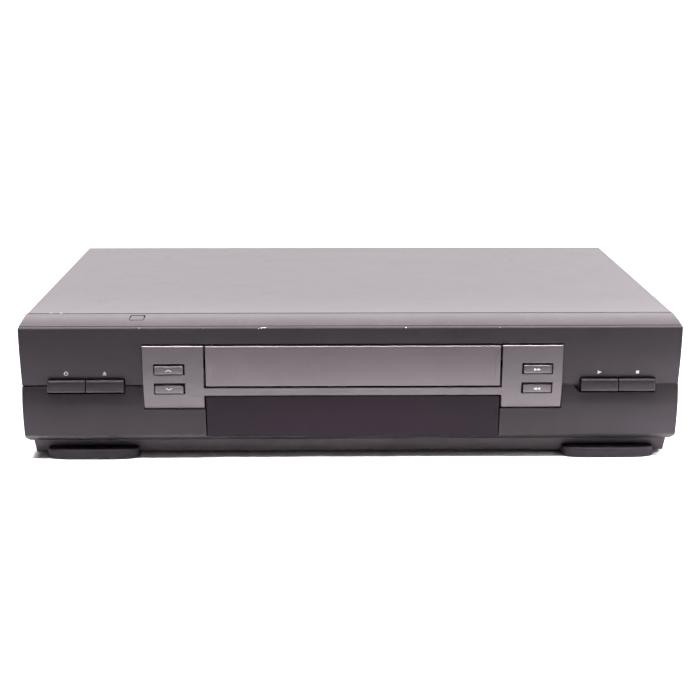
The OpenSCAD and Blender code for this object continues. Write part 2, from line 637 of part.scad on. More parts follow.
// ---- drum, capstan and reels ------------------------------------------
module drum_axis() translate([drum_x, drum_y, 24]) rotate([0, drum_tilt, 0]) children();
module lower_drum() {
    r = drum_d / 2;
    color([0.78, 0.79, 0.8]) deck() {
        cyl_z(drum_x, drum_y, deck_z, 26, 33);
        drum_axis() {
            difference() {
                union() {
                    translate([0, 0, 1.6]) cylinder(h = 5, r = 20);
                    translate([0, 0, 5.4]) cylinder(h = 12, r = r);
                }
                // the helical ledge's land, kept as a shallow step
                translate([0, 0, 16.2]) difference() {
                    cylinder(h = 2, r = r + 2);
                    translate([0, 0, -1]) cylinder(h = 4, r = r - 0.4);
                }
            }
            cylinder(h = 36, r = 3);
        }
    }
}
module upper_drum() {
    r = drum_d / 2;
    color([0.82, 0.83, 0.84]) deck() drum_axis() difference() {
        union() {
            translate([0, 0, 17.7]) cylinder(h = 13, r = r);
            translate([0, 0, 30.6]) cylinder(h = 3, r = 11);
        }
        translate([0, 0, 10]) cylinder(h = 30, r = 3.06);
        // head windows and balance pockets
        for (a = [0:90:270]) rotate([0, 0, a]) translate([r - 3, -2, 16]) cube([5, 4, 4]);
        for (a = [45:90:315]) rotate([0, 0, a]) translate([20, 0, 28.7]) cylinder(h = 3, r = 3);
    }
}
module capstan() {
    color([0.75, 0.75, 0.77]) deck() difference() {
        union() {
            cyl_z(cap_x, cap_y, 11, 52, 2);
            cyl_z(cap_x, cap_y, 15.6, 19.2, 24);
            cyl_z(cap_x, cap_y, 11, 15.7, 6);
        }
        cyl_z(cap_x - 14, cap_y, 15, 16.4, 4);
        cyl_z(cap_x + 14, cap_y, 15, 16.4, 4);
    }
}
module capstan_motor() {
    color([0.3, 0.4, 0.3]) deck() difference() {
        union() {
            cyl_z(cap_x, cap_y, 20, 22, 24.4);
            cyl_z(cap_x, cap_y, 20, 28.4, 3.9);
        }
        cyl_z(cap_x, cap_y, 18, 30, 2.05);
    }
}
module clutch_pulley() {
    color([0.9, 0.9, 0.88]) deck() {
        cyl_z(0, clutch_y, 11.2, 15.6, 15);
        cyl_z(0, clutch_y, 15.5, 21.4, 5);
        cyl_z(0, clutch_y, 21.3, 31, 1.5);
    }
}
module drive_belt() {
    // flat belt round the capstan pulley and the clutch pulley, clear of both by 0.2
    dx = cap_x; dy = cap_y - clutch_y;
    dist = norm([dx, dy]);
    r1 = 15.2; r2 = 6.2; t = 0.9;
    a = acos((r1 - r2) / dist);
    function loop(o) = concat(arc(0, 0, r1 + o, a, 360 - a, 40), arc(dist, 0, r2 + o, -a, a, 24));
    color([0.08, 0.08, 0.08]) deck() translate([0, clutch_y, 11.9]) rotate([0, 0, atan2(dy, dx)])
        linear_extrude(height = 3) difference() { polygon(loop(t)); polygon(loop(0)); }
}
module reel(x) {
    difference() {
        union() {
            translate([x, reel_y, 25.2]) linear_extrude(height = 2.4) polygon(gear(36, 24.6, 26, 3.1, 1.4));
            cyl_z(x, reel_y, 27.5, 28.7, 17);
            cyl_z(x, reel_y, 28.6, 41, 6.5);
            for (a = [0:120:240]) translate([x, reel_y, 28.6]) rotate([0, 0, a]) bx(5, 10.5, -1, 1, 0, 9);
        }
        cyl_z(x, reel_y, 20, 45, 2.06);
    }
}
module supply_reel() { color([0.85, 0.85, 0.83]) deck() reel(-reel_pitch / 2); }
module takeup_reel() { color([0.85, 0.85, 0.83]) deck() reel(reel_pitch / 2); }
module idler_arm() {
    color([0.6, 0.6, 0.62]) deck() {
        difference() {
            union() {
                cyl_z(0, clutch_y, 23.8, 24.8, 4.5);
                cyl_z(0, clutch_y - idler_len, 23.8, 24.8, 4);
                bx(-3, 3, clutch_y - idler_len, clutch_y, 23.8, 24.8);
            }
            cyl_z(0, clutch_y, 20, 32, 1.58);
        }
        cyl_z(0, clutch_y - idler_len, 24.7, 30, 1.2);
    }
}
module idler_gear() {
    color([0.9, 0.9, 0.88]) deck() difference() {
        union() {
            translate([0, clutch_y - idler_len, 25.2]) linear_extrude(height = 2.4)
                polygon(gear(24, 15.6, 17, 4.6, 2.1));
        }
        cyl_z(0, clutch_y - idler_len, 20, 32, 1.26);
    }
}
module pinch_arm() {
    rx = pinch_x + pinch_len * cos(pinch_a);
    ry = pinch_y + pinch_len * sin(pinch_a);
    color([0.6, 0.6, 0.62]) deck() {
        difference() {
            union() {
                cyl_z(pinch_x, pinch_y, 23.8, 29, 5);
                translate([pinch_x, pinch_y, 23.8]) rotate([0, 0, pinch_a]) bx(0, pinch_len, -3, 3, 0, 3);
                cyl_z(rx, ry, 23.8, 26.8, 4);
            }
            cyl_z(pinch_x, pinch_y, 20, 35, 2.06);
        }
        cyl_z(rx, ry, 26.7, 50, 1.5);
    }
}
module pinch_roller() {
    rx = pinch_x + pinch_len * cos(pinch_a);
    ry = pinch_y + pinch_len * sin(pinch_a);
    color([0.1, 0.1, 0.1]) deck() difference() {
        cyl_z(rx, ry, 29, 47, 6.5);
        cyl_z(rx, ry, 26, 52, 1.56);
    }
}
module guide(x, y) {
    cyl_z(x, y, 23.8, 28, 6);
    cyl_z(x, y, 20.5, 24, 1.9);
    cyl_z(x, y, 27.9, 31, 1.5);
    cyl_z(x, y, 30.9, 47, 3.2);
    cyl_z(x, y, 46.9, 49, 4);
}
module supply_guide() { color([0.8, 0.8, 0.82]) deck() guide(-35, 150); }
module takeup_guide() { color([0.8, 0.8, 0.82]) deck() guide(35, 150); }
module tension_arm() {
    l = norm([tens_dx, tens_dy]);
    color([0.7, 0.7, 0.72]) deck() difference() {
        union() {
            cyl_z(tens_x, tens_y, 24, 26.6, 3.5);
            translate([tens_x, tens_y, 24]) rotate([0, 0, atan2(tens_dy, tens_dx)]) bx(0, l, -2, 2, 0, 1.6);
            cyl_z(tens_x + tens_dx, tens_y + tens_dy, 24, 25.6, 3);
            cyl_z(tens_x + tens_dx, tens_y + tens_dy, 25.5, 46, 2.2);
        }
        cyl_z(tens_x, tens_y, 20, 30, 1.56);
    }
}
module tape_heads() {
    color([0.75, 0.72, 0.6]) deck() {
        // full-width erase head on the supply side
        bx(-69, -57, 168, 178, deck_z, 26);
        bx(-67, -59, 169, 176, 25.9, 47);
        // audio and control head on its plate, take-up side
        bx(49, 61, 184, 193, deck_z, 26);
        bx(51, 59, 185, 191, 25.9, 48);
    }
}
module mode_gear() {
    color([0.9, 0.88, 0.8]) deck() difference() {
        union() {
            translate([gear_x, gear_y, 24.6]) linear_extrude(height = 4.4)
                polygon(gear(32, 13.6, 15, 3.6, 1.6));
            cyl_z(gear_x, gear_y, 28.9, 30.5, 5);
        }
        cyl_z(gear_x, gear_y, 20, 35, 2.06);
        // cam track
        difference() {
            cyl_z(gear_x, gear_y, 27.6, 32, 10.5);
            cyl_z(gear_x, gear_y, 27, 33, 8);
        }
    }
}
module loading_worm() {
    color([0.85, 0.8, 0.6]) deck() {
        cyl_y(worm_x, 27, 196, 231.9, 1);
        cyl_y(worm_x, 27, 200, 218, 2.2);
        for (i = [0:8]) cyl_y(worm_x, 27, 200.4 + i * 2, 201.2 + i * 2, 2.95);
    }
}
module loading_motor() {
    color([0.7, 0.7, 0.7]) deck() difference() {
        union() {
            cyl_y(worm_x, 27, 228, 252, 10);
            cyl_y(worm_x, 27, 226.8, 228.1, 4);
        }
        cyl_y(worm_x, 27, 220, 232, 1.06);
    }
}

top_cover();
front_panel();
trim_panel();
display_window();
main_frame();
bottom_plate();
rear_panel();
front_foot_left();
front_foot_right();
rear_feet();
case_screws();
cassette_door();
door_spring();
power_button();
eject_button();
play_button();
stop_button();
channel_up_button();
channel_down_button();
fast_forward_button();
rewind_button();
rf_connectors();
av_jack_block();
av_jack_sleeves();
av_jack_inserts();
power_inlet();
front_board();
display_tube();
tact_switches();
remote_sensor();
main_board();
tuner_can();
power_board();
power_transformer();
main_capacitor();
deck_chassis();
carriage_sides();
carriage_bridge();
carriage_sliders();
cassette_basket();
loading_shaft();
lower_drum();
upper_drum();
capstan();
capstan_motor();
clutch_pulley();
drive_belt();
supply_reel();
takeup_reel();
idler_arm();
idler_gear();
pinch_arm();
pinch_roller();
supply_guide();
takeup_guide();
tension_arm();
tape_heads();
mode_gear();
loading_motor();
loading_worm();
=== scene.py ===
"""Looks of a front-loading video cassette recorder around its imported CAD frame."""
import math
import random

import bpy
import bmesh
from mathutils import Matrix, Vector


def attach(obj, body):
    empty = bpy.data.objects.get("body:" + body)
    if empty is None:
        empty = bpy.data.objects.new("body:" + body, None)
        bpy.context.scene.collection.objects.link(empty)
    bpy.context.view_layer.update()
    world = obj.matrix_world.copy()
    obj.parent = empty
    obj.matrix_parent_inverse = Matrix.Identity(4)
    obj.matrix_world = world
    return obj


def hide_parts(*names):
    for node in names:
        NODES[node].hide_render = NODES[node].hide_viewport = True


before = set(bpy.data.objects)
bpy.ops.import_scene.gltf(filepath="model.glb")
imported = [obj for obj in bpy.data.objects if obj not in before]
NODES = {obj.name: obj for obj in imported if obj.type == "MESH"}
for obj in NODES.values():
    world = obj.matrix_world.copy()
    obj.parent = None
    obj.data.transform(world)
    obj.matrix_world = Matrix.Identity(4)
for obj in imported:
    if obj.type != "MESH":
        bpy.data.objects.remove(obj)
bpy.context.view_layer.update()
rnd = random.Random(7)

# Lengths below are millimetres in the drawing's own coordinates: Y = 0 at the front crease.
YM, MX = 145.65, 1.0


def V(x, y, z):
    return (x * 0.001, (y - YM) * 0.001, z * 0.001)


def smooth(a, b, t):
    t = min(1.0, max(0.0, (t - a) / (b - a)))
    return t * t * (3 - 2 * t)


def ledge_h(y):
    return 93.3 - 3.3 * (max(0.0, 28.5 - y) / 28.5) ** 1.15


def front_y(z):
    if z > 90:
        return 0.0
    if z > 50.6:
        return 4.5 * ((90 - z) / 39.4) ** 1.9
    if z > 37:
        return 2.0 + 2.0 * ((z - 37) / 13.4) ** 1.6
    return 2.0 + 2.1 * ((37 - z) / 21) ** 2.1


def plane_y(z):
    return 0.2 + (78.5 - z) * 3.1 / 43.5


def trim_y(z):
    t = (78.5 - z) / 43.5
    return plane_y(z) - 4.8 * t * (1 - t)


# ---------------------------------------------------------------- node helper
class Nodes:
    """A small builder for one material's node tree."""

    def __init__(self, name):
        self.mat = bpy.data.materials.new(name)
        self.mat.use_nodes = True
        self.t = self.mat.node_tree
        self.t.nodes.clear()
        self.out = self.t.nodes.new("ShaderNodeOutputMaterial")
        self.bsdf = self.t.nodes.new("ShaderNodeBsdfPrincipled")
        self.t.links.new(self.bsdf.outputs[0], self.out.inputs[0])
        self.co = self.t.nodes.new("ShaderNodeTexCoord").outputs["Object"]

    def new(self, kind, **props):
        n = self.t.nodes.new(kind)
        for k, v in props.items():
            setattr(n, k, v)
        return n

    def link(self, a, b):
        self.t.links.new(a, b)

    def put(self, sock, value):
        if hasattr(value, "is_output"):
            self.link(value, sock)
        else:
            sock.default_value = value

    def math(self, op, a, b=0.0, c=0.0, clamp=False):
        n = self.new("ShaderNodeMath", operation=op, use_clamp=clamp)
        for s, v in zip(n.inputs, (a, b, c)):
            self.put(s, v)
        return n.outputs[0]

    def stretch(self, scale, loc=(0, 0, 0), rot=(0, 0, 0)):
        n = self.new("ShaderNodeMapping")
        n.inputs["Scale"].default_value = scale
        n.inputs["Location"].default_value = loc
        n.inputs["Rotation"].default_value = rot
        self.link(self.co, n.inputs["Vector"])
        return n.outputs[0]

    def noise(self, scale, detail=3.0, rough=0.55, vec=None, dist=0.0):
        n = self.new("ShaderNodeTexNoise")
        n.inputs["Scale"].default_value = scale
        n.inputs["Detail"].default_value = detail
        n.inputs["Roughness"].default_value = rough
        n.inputs["Distortion"].default_value = dist
        self.link(vec or self.co, n.inputs["Vector"])
        return n.outputs["Fac"]

    def cells(self, scale, feature="F1", vec=None, out="Distance"):
        n = self.new("ShaderNodeTexVoronoi", feature=feature)
        n.inputs["Scale"].default_value = scale
        self.link(vec or self.co, n.inputs["Vector"])
        return n.outputs[out]

    def ramp(self, value, a, b, lo=0.0, hi=1.0, soft=True):
        n = self.new("ShaderNodeMapRange", interpolation_type="SMOOTHSTEP" if soft else "LINEAR")
        for s, v in zip(("Value", "From Min", "From Max", "To Min", "To Max"), (value, a, b, lo, hi)):
            self.put(n.inputs[s], v)
        return n.outputs[0]

    def mix(self, fac, a, b, mode="MIX"):
        n = self.new("ShaderNodeMix", data_type="RGBA", blend_type=mode)
        n.clamp_factor = True
        self.put(n.inputs[0], fac)
        for s, v in ((n.inputs[6], a), (n.inputs[7], b)):
            if hasattr(v, "is_output"):
                self.link(v, s)
            else:
                s.default_value = (*v[:3], 1.0)
        return n.outputs[2]

    def axis(self, i, vec=None):
        n = self.new("ShaderNodeSeparateXYZ")
        self.link(vec or self.co, n.inputs[0])
        return n.outputs[i]

    def normal(self, i):
        g = self.new("ShaderNodeNewGeometry")
        return self.axis(i, g.outputs["Normal"])

    def own_normal(self, i):
        """The normal in the piece's own axes, so that it turns with a piece that moves."""
        return self.axis(i, self.co.node.outputs["Normal"])

    def bump(self, height, strength, distance, under=None):
        n = self.new("ShaderNodeBump")
        n.inputs["Strength"].default_value = strength
        n.inputs["Distance"].default_value = distance
        self.link(height, n.inputs["Height"])
        if under is not None:
            self.link(under, n.inputs["Normal"])
        return n.outputs[0]

    def set(self, **kw):
        names = {"color": "Base Color", "rough": "Roughness", "metal": "Metallic", "normal": "Normal",
                 "spec": "Specular IOR Level", "ior": "IOR", "coat": "Coat Weight",
                 "coat_rough": "Coat Roughness", "trans": "Transmission Weight",
                 "aniso": "Anisotropic", "sheen": "Sheen Weight", "alpha": "Alpha",
                 "sheen_rough": "Sheen Roughness", "sss": "Subsurface Weight", "glint": "Specular Tint"}
        for k, v in kw.items():
            s = self.bsdf.inputs[names[k]]
            if hasattr(v, "is_output"):
                self.link(v, s)
            elif k in ("color", "glint"):
                s.default_value = (*v[:3], 1.0)
            else:
                s.default_value = v
        return self.mat


def tint(c, f):
    return tuple(min(1.0, x * f) for x in c[:3])


def surface(name, base, rough=0.5, grain=2600, grain_h=0.00003, grain_s=0.35, mottle=38, var=0.07,
            rvar=0.06, metal=0.0, dust=0.0, rub=0.0, orange=0.0, **extra):
    """A worked surface: mottled colour, fine grain, uneven gloss, and dust on what faces up."""
    n = Nodes(name)
    broad = n.noise(mottle, 4.0, 0.6)
    fine = n.noise(grain, 2.0, 0.5)
    col = n.mix(n.ramp(broad, 0.3, 0.7), tint(base, 1 - var), tint(base, 1 + var))
    col = n.mix(n.ramp(fine, 0.35, 0.65, 0.0, 0.35), col, tint(base, 0.8))
    r = n.ramp(n.noise(mottle * 2.3, 5.0, 0.65), 0.25, 0.75, rough - rvar, rough + rvar, soft=False)
    if dust:
        up = n.ramp(n.normal(2), 0.55, 0.98)
        lint = n.ramp(n.noise(420, 6.0, 0.7), 0.42, 0.72)
        amount = n.math("MULTIPLY", n.math("MULTIPLY", up, lint), dust)
        col = n.mix(amount, col, (0.42, 0.4, 0.39))
        r = n.math("ADD", r, n.math("MULTIPLY", amount, 0.3), clamp=True)
    if rub:
        lines = n.noise(90, 5.0, 0.6, n.stretch((0.35, 5.0, 14.0), rot=(0.2, 0.1, 0.35)))
        mark = n.ramp(lines, 0.66, 0.72, 0.0, rub)
        r = n.math("ADD", r, mark, clamp=True)
        col = n.mix(n.math("MULTIPLY", mark, 0.6), col, tint(base, 1.8))
    b = n.bump(fine, grain_s, grain_h)
    if orange:
        b = n.bump(n.noise(330, 2.0, 0.4), 0.5, orange, b)
    n.set(color=col, rough=r, metal=metal, normal=b, **extra)
    return n.mat


# ------------------------------------------------------------------ materials
def make_cover_paint():
    """Fine satin paint on the steel cover, faintly pitted, with smudges and a little dust."""
    n = Nodes("cover_paint")
    base = (0.029, 0.0279, 0.0288)
    broad = n.noise(9, 4.0, 0.55)
    fine = n.noise(1500, 2.0, 0.5)
    pits = n.cells(900)
    col = n.mix(n.ramp(broad, 0.3, 0.7), tint(base, 0.94), tint(base, 1.05))
    col = n.mix(n.ramp(fine, 0.4, 0.7, 0.0, 0.3), col, tint(base, 1.25))
    up = n.ramp(n.normal(2), 0.6, 0.98)
    lint = n.ramp(n.noise(240, 7.0, 0.75), 0.55, 0.8, 0.0, 0.16)
    col = n.mix(n.math("MULTIPLY", up, lint), col, (0.42, 0.41, 0.4))
    # dried fingerprints: soft rings of rougher paint, rubbed lines beside them
    smudge = n.ramp(n.noise(26, 6.0, 0.62, dist=0.8), 0.57, 0.74, 0.0, 0.03)
    lines = n.ramp(n.noise(60, 5.0, 0.6, n.stretch((0.5, 9.0, 1.0), rot=(0, 0, 0.5))), 0.68, 0.73, 0.0, 0.02)
    # two places on the front edge where the paint has gone
    y = n.axis(1)
    edge = n.ramp(y, -0.1158, -0.1146, 1.0, 0.0)
    for k in (-0.19915, -0.19253):
        spot = n.ramp(n.math("ABSOLUTE", n.math("SUBTRACT", n.axis(0), k)), 0.0003, 0.0008, 1.0, 0.0)
        spot = n.math("MULTIPLY", n.math("MULTIPLY", spot, edge), n.ramp(n.noise(1400, 3.0, 0.6), 0.35, 0.5))
        col = n.mix(n.math("MULTIPLY", spot, 0.8), col, (0.6, 0.58, 0.58))
    r = n.math("ADD", n.ramp(broad, 0.2, 0.8, 0.36, 0.43), n.math("ADD", smudge, lines))
    b = n.bump(fine, 0.3, 0.00003)
    b = n.bump(pits, 0.16, 0.00006, b)
    b = n.bump(n.noise(240, 1.0, 0.4), 0.25, 0.00012, b)
    return n.set(color=col, rough=r, normal=b, ior=1.5, spec=0.56)


def make_panel_plastic():
    """Dark moulded plastic with a fine spark-eroded grain, shinier where hands have rubbed it."""
    n = Nodes("panel_plastic")
    base = (0.0195, 0.0181, 0.0191)
    fine = n.noise(2300, 2.0, 0.6)
    grains = n.cells(1700)
    broad = n.noise(14, 4.0, 0.6)
    col = n.mix(n.ramp(broad, 0.3, 0.7), tint(base, 0.9), tint(base, 1.12))
    col = n.mix(n.ramp(fine, 0.45, 0.7, 0.0, 0.4), col, tint(base, 1.5))
    up = n.ramp(n.normal(2), 0.6, 0.98)
    lint = n.ramp(n.noise(380, 7.0, 0.75), 0.55, 0.8, 0.0, 0.14)
    col = n.mix(n.math("MULTIPLY", up, lint), col, (0.42, 0.41, 0.4))
    rubbed = n.ramp(n.noise(21, 5.0, 0.6, dist=0.4), 0.5, 0.75, 0.0, 0.03)
    r = n.math("SUBTRACT", n.ramp(n.noise(70, 4.0, 0.6), 0.3, 0.7, 0.34, 0.365), rubbed)
    # painted highlight: the lower edge is coloured paler, more so towards the left, standing in for the light it
    # catches from the floor
    rim = n.math("MULTIPLY", n.ramp(n.axis(2), 0.0136, 0.0146), n.ramp(n.axis(2), 0.0157, 0.0165, 1.0, 0.0))
    rim = n.math("MULTIPLY", rim, n.ramp(n.axis(0), -0.12, 0.08, 1.0, 0.15))
    col = n.mix(n.math("MULTIPLY", rim, n.ramp(n.noise(300, 4.0, 0.6), 0.25, 0.6, 0.5, 1.0)), col, (0.062, 0.058, 0.061))
    ledge = n.math("MULTIPLY", n.ramp(n.axis(2), 0.0885, 0.0895), n.ramp(n.axis(1), -0.146, -0.122, 1.0, 0.0, soft=False))
    r = n.math("ADD", r, n.math("MULTIPLY", ledge, 0.3))
    b = n.bump(fine, 0.4, 0.00002)
    b = n.bump(grains, 0.25, 0.00004, b)
    return n.set(color=col, rough=r, normal=b, ior=1.49, spec=0.205, glint=(1.0, 0.88, 0.97))


def metallic_paint(name, base, rough, scale=1.0, marks=False, metal=0.6):
    """Silver-grey metallic paint on plastic: small flakes, a clear top and a soft sheen.
    It was sprayed from the front, so the sides, underside and back are bare dark plastic."""
    n = Nodes(name)
    flake = n.cells(5200, out="Color")
    bright = n.ramp(n.axis(0, flake), 0.0, 1.0, 0.84, 1.2, soft=False)
    broad = n.noise(17 * scale, 4.0, 0.55)
    col = n.mix(n.ramp(broad, 0.3, 0.7), tint(base, 0.95), tint(base, 1.05))
    grey = n.new("ShaderNodeCombineXYZ")
    for i in range(3):
        n.link(bright, grey.inputs[i])
    col = n.mix(0.55, col, n.mix(1.0, col, grey.outputs[0], "MULTIPLY"))
    r = n.ramp(n.noise(55, 5.0, 0.6), 0.3, 0.7, rough - 0.05, rough + 0.05)
    if marks:
        x, z = n.axis(0), n.axis(2)
        # a hairline scratch near the right end and a rubbed band near the left one
        hair = n.math("MULTIPLY", n.ramp(n.math("ABSOLUTE", n.math("SUBTRACT", x, 0.0940)), 0.0, 0.00035, 1.0, 0.0),
                      n.math("MULTIPLY", n.ramp(z, 0.0545, 0.0565), n.ramp(z, 0.0715, 0.0735, 1.0, 0.0)))
        band = n.math("MULTIPLY", n.ramp(n.math("ABSOLUTE", n.math("SUBTRACT", x, -0.0922)), 0.0004, 0.0016, 1.0, 0.0),
                      n.math("MULTIPLY", n.ramp(z, 0.053, 0.058), n.ramp(z, 0.068, 0.0735, 1.0, 0.0)))
        worn = n.math("MULTIPLY", band, n.ramp(n.noise(500, 5.0, 0.7), 0.3, 0.7, 0.2, 0.75))
        col = n.mix(n.math("MULTIPLY", hair, 0.5), col, tint(base, 0.45))
        col = n.mix(n.math("MULTIPLY", worn, 0.4), col, tint(base, 1.5))
        r = n.math("ADD", r, n.math("MULTIPLY", worn, 0.12), clamp=True)
    b = n.bump(n.noise(1900, 2.0, 0.5), 0.12, 0.00002)
    b = n.bump(n.noise(160, 2.0, 0.4), 0.1, 0.00015, b)
    faced = n.math("MAXIMUM", n.ramp(n.own_normal(1), -0.55, -0.3, 1.0, 0.0), n.ramp(n.own_normal(2), 0.5, 0.8))
    col = n.mix(faced, (0.012, 0.011, 0.012), col)
    return n.set(color=col, rough=r, metal=n.math("MULTIPLY", faced, metal), normal=b, coat=0.2, coat_rough=0.3, spec=0.5)


def make_window():
    """Smoked acrylic over a dark compartment: deep purple-black, glossy, with fine hairlines."""
    n = Nodes("smoked_window")
    x = n.axis(0)
    middle = n.ramp(n.math("ABSOLUTE", n.math("SUBTRACT", x, 0.001)), 0.03, 0.085, 1.0, 0.0)
    cloud = n.ramp(n.noise(24, 4.0, 0.6), 0.35, 0.7)
    col = n.mix(n.math("MULTIPLY", middle, 0.8), (0.0042, 0.0027, 0.0041), (0.0066, 0.0029, 0.006))
    col = n.mix(n.math("MULTIPLY", cloud, 0.35), col, (0.0084, 0.004, 0.0074))
    hair = n.ramp(n.noise(70, 6.0, 0.7, n.stretch((0.4, 1.0, 16.0), rot=(0, 0.25, 0))), 0.68, 0.73, 0.0, 0.12)
    r = n.math("ADD", n.ramp(n.noise(45, 4.0, 0.6), 0.3, 0.7, 0.16, 0.22), hair)
    b = n.bump(n.noise(70, 2.0, 0.4), 0.06, 0.0002)
    return n.set(color=col, rough=r, normal=b, ior=1.47, coat=0.06, coat_rough=0.08, spec=0.125, glint=(1.0, 0.78, 0.97))


def brushed(name, base, rough=0.3, along=0, metal=0.95, scale=1.0, spangle=0.0):
    """Metal with fine lines along one axis, or zinc spangle."""
    n = Nodes(name)
    s = [700 * scale] * 3
    s[along] = 9
    lines = n.noise(1.0, 4.0, 0.6, n.stretch(tuple(s)))
    broad = n.noise(30, 4.0, 0.6)
    col = n.mix(n.ramp(broad, 0.3, 0.7), tint(base, 0.88), tint(base, 1.05))
    col = n.mix(n.ramp(lines, 0.35, 0.7, 0.0, 0.4), col, tint(base, 0.72))
    r = n.ramp(lines, 0.3, 0.7, rough - 0.06, rough + 0.1)
    if spangle:
        cell = n.axis(0, n.cells(160, out="Color"))
        col = n.mix(n.ramp(cell, 0.0, 1.0, 0.0, spangle, soft=False), col, tint(base, 0.6))
        r = n.math("ADD", r, n.ramp(cell, 0.0, 1.0, -0.05, 0.12, soft=False))
    b = n.bump(lines, 0.2, 0.00004)
    return n.set(color=col, rough=r, metal=metal, normal=b, aniso=0.35)


def turned(name, base, cx, cy, rough=0.22):
    """Lathe-turned metal: fine rings round an upright axis."""
    n = Nodes(name)
    dx = n.math("SUBTRACT", n.axis(0), cx)
    dy = n.math("SUBTRACT", n.axis(1), cy)
    rad = n.math("SQRT", n.math("ADD", n.math("MULTIPLY", dx, dx), n.math("MULTIPLY", dy, dy)))
    up = n.axis(2)
    wave = n.math("SINE", n.math("MULTIPLY", n.math("ADD", rad, up), 22000.0))
    broad = n.noise(40, 4.0, 0.6)
    col = n.mix(n.ramp(broad, 0.3, 0.7), tint(base, 0.9), tint(base, 1.05))
    col = n.mix(n.ramp(wave, -1.0, 1.0, 0.0, 0.22), col, tint(base, 0.7))
    r = n.ramp(n.noise(160, 4.0, 0.6), 0.3, 0.7, rough - 0.05, rough + 0.08)
    b = n.bump(wave, 0.12, 0.00003)
    return n.set(color=col, rough=r, metal=0.95, normal=b, aniso=0.5)


def make_board(name, level, lam, parts_dark=True):
    """Phenolic board: woven laminate, copper tracks under lacquer, darker parts above it."""
    n = Nodes(name)
    weave = n.noise(900, 3.0, 0.6, n.stretch((1.0, 0.25, 1.0)))
    col = n.mix(n.ramp(weave, 0.35, 0.65), tint(lam, 0.85), tint(lam, 1.1))
    tracks = n.new("ShaderNodeTexBrick")
    n.link(n.stretch((160, 160, 160), rot=(0, 0, 0.0)), tracks.inputs["Vector"])
    tracks.inputs["Scale"].default_value = 1.0
    tracks.inputs["Mortar Size"].default_value = 0.06
    tracks.inputs["Mortar Smooth"].default_value = 0.3
    col = n.mix(n.math("MULTIPLY", tracks.outputs["Fac"], 0.55), col, tint(lam, 0.55))
    pads = n.ramp(n.cells(190), 0.10, 0.16, 1.0, 0.0)
    col = n.mix(n.math("MULTIPLY", pads, 0.8), col, (0.62, 0.6, 0.55))
    r = n.ramp(n.noise(120, 4.0, 0.6), 0.3, 0.7, 0.4, 0.56)
    if parts_dark:
        above = n.ramp(n.axis(2), level, level + 0.0002)
        kind = n.axis(0, n.cells(55, out="Color"))
        part = n.mix(n.ramp(kind, 0.5, 0.55), (0.02, 0.02, 0.022), (0.035, 0.05, 0.11))
        col = n.mix(above, col, part)
        r = n.math("SUBTRACT", r, n.math("MULTIPLY", above, 0.1))
    b = n.bump(n.math("ADD", n.math("MULTIPLY", weave, 0.3), tracks.outputs["Fac"]), 0.25, 0.00006)
    return n.set(color=col, rough=r, normal=b)


def make_jacks():
    """Moulded rings of the phono jacks: red, white and yellow by column."""
    n = Nodes("jack_colours")
    x = n.axis(0)
    col = n.mix(n.ramp(x, 0.0409, 0.0411), (0.55, 0.02, 0.02), (0.8, 0.78, 0.74))
    col = n.mix(n.ramp(x, 0.0609, 0.0611), col, (0.75, 0.55, 0.03))
    tone = n.noise(380, 4.0, 0.6)
    col = n.mix(n.ramp(tone, 0.4, 0.75, 0.0, 0.3), col, (0.12, 0.1, 0.09))
    r = n.ramp(n.noise(200, 4.0, 0.6), 0.3, 0.7, 0.32, 0.48)
    return n.set(color=col, rough=r, normal=n.bump(n.noise(1800, 2.0, 0.5), 0.3, 0.00002))


def make_transformer():
    """Laminated iron below and above, yellow taped winding in the middle."""
    n = Nodes("part_yellow")
    x, y, z = n.axis(0), n.axis(1), n.axis(2)
    coil = n.math("MULTIPLY", n.ramp(z, 0.0198, 0.0202), n.ramp(n.math("ABSOLUTE", n.math("SUBTRACT", x, -0.174)), 0.0061, 0.0059, 0.0, 1.0))
    sheets = n.math("SINE", n.math("MULTIPLY", y, 9000.0))
    iron = n.mix(n.ramp(sheets, -0.4, 0.6), (0.16, 0.15, 0.14), (0.34, 0.33, 0.31))
    tape = n.mix(n.ramp(n.noise(160, 4.0, 0.6), 0.35, 0.7), (0.52, 0.34, 0.03), (0.66, 0.48, 0.07))
    col = n.mix(coil, iron, tape)
    r = n.ramp(n.noise(200, 4.0, 0.6), 0.3, 0.7, 0.38, 0.55)
    return n.set(color=col, rough=r, normal=n.bump(sheets, 0.2, 0.00004))


def make_feet():
    """Hard black plastic feet, matt, with a scuffed rim."""
    n = Nodes("foot_rubber")
    base = (0.0138, 0.0129, 0.014)
    fine = n.noise(1700, 3.0, 0.6)
    broad = n.noise(60, 5.0, 0.65)
    col = n.mix(n.ramp(broad, 0.3, 0.75), tint(base, 0.85), tint(base, 1.3))
    low = n.ramp(n.axis(2), 0.0, 0.0022, 1.0, 0.0)
    scuff = n.math("MULTIPLY", low, n.ramp(n.noise(240, 6.0, 0.7), 0.45, 0.7, 0.0, 0.5))
    col = n.mix(scuff, col, (0.12, 0.115, 0.115))
    r = n.ramp(n.noise(110, 4.0, 0.6), 0.3, 0.7, 0.5, 0.66)
    return n.set(color=col, rough=r, normal=n.bump(fine, 0.5, 0.00004), spec=0.21, glint=(1.0, 0.9, 1.0))


def make_print():
    """White ink of the symbols, slightly thin in places."""
    n = Nodes("print_white")
    thin = n.ramp(n.noise(2600, 3.0, 0.6), 0.3, 0.6)
    col = n.mix(thin, (0.42, 0.4, 0.41), (0.74, 0.72, 0.73))
    r = n.ramp(n.noise(900, 3.0, 0.6), 0.3, 0.7, 0.45, 0.6)
    return n.set(color=col, rough=r, normal=n.bump(thin, 0.2, 0.00002))


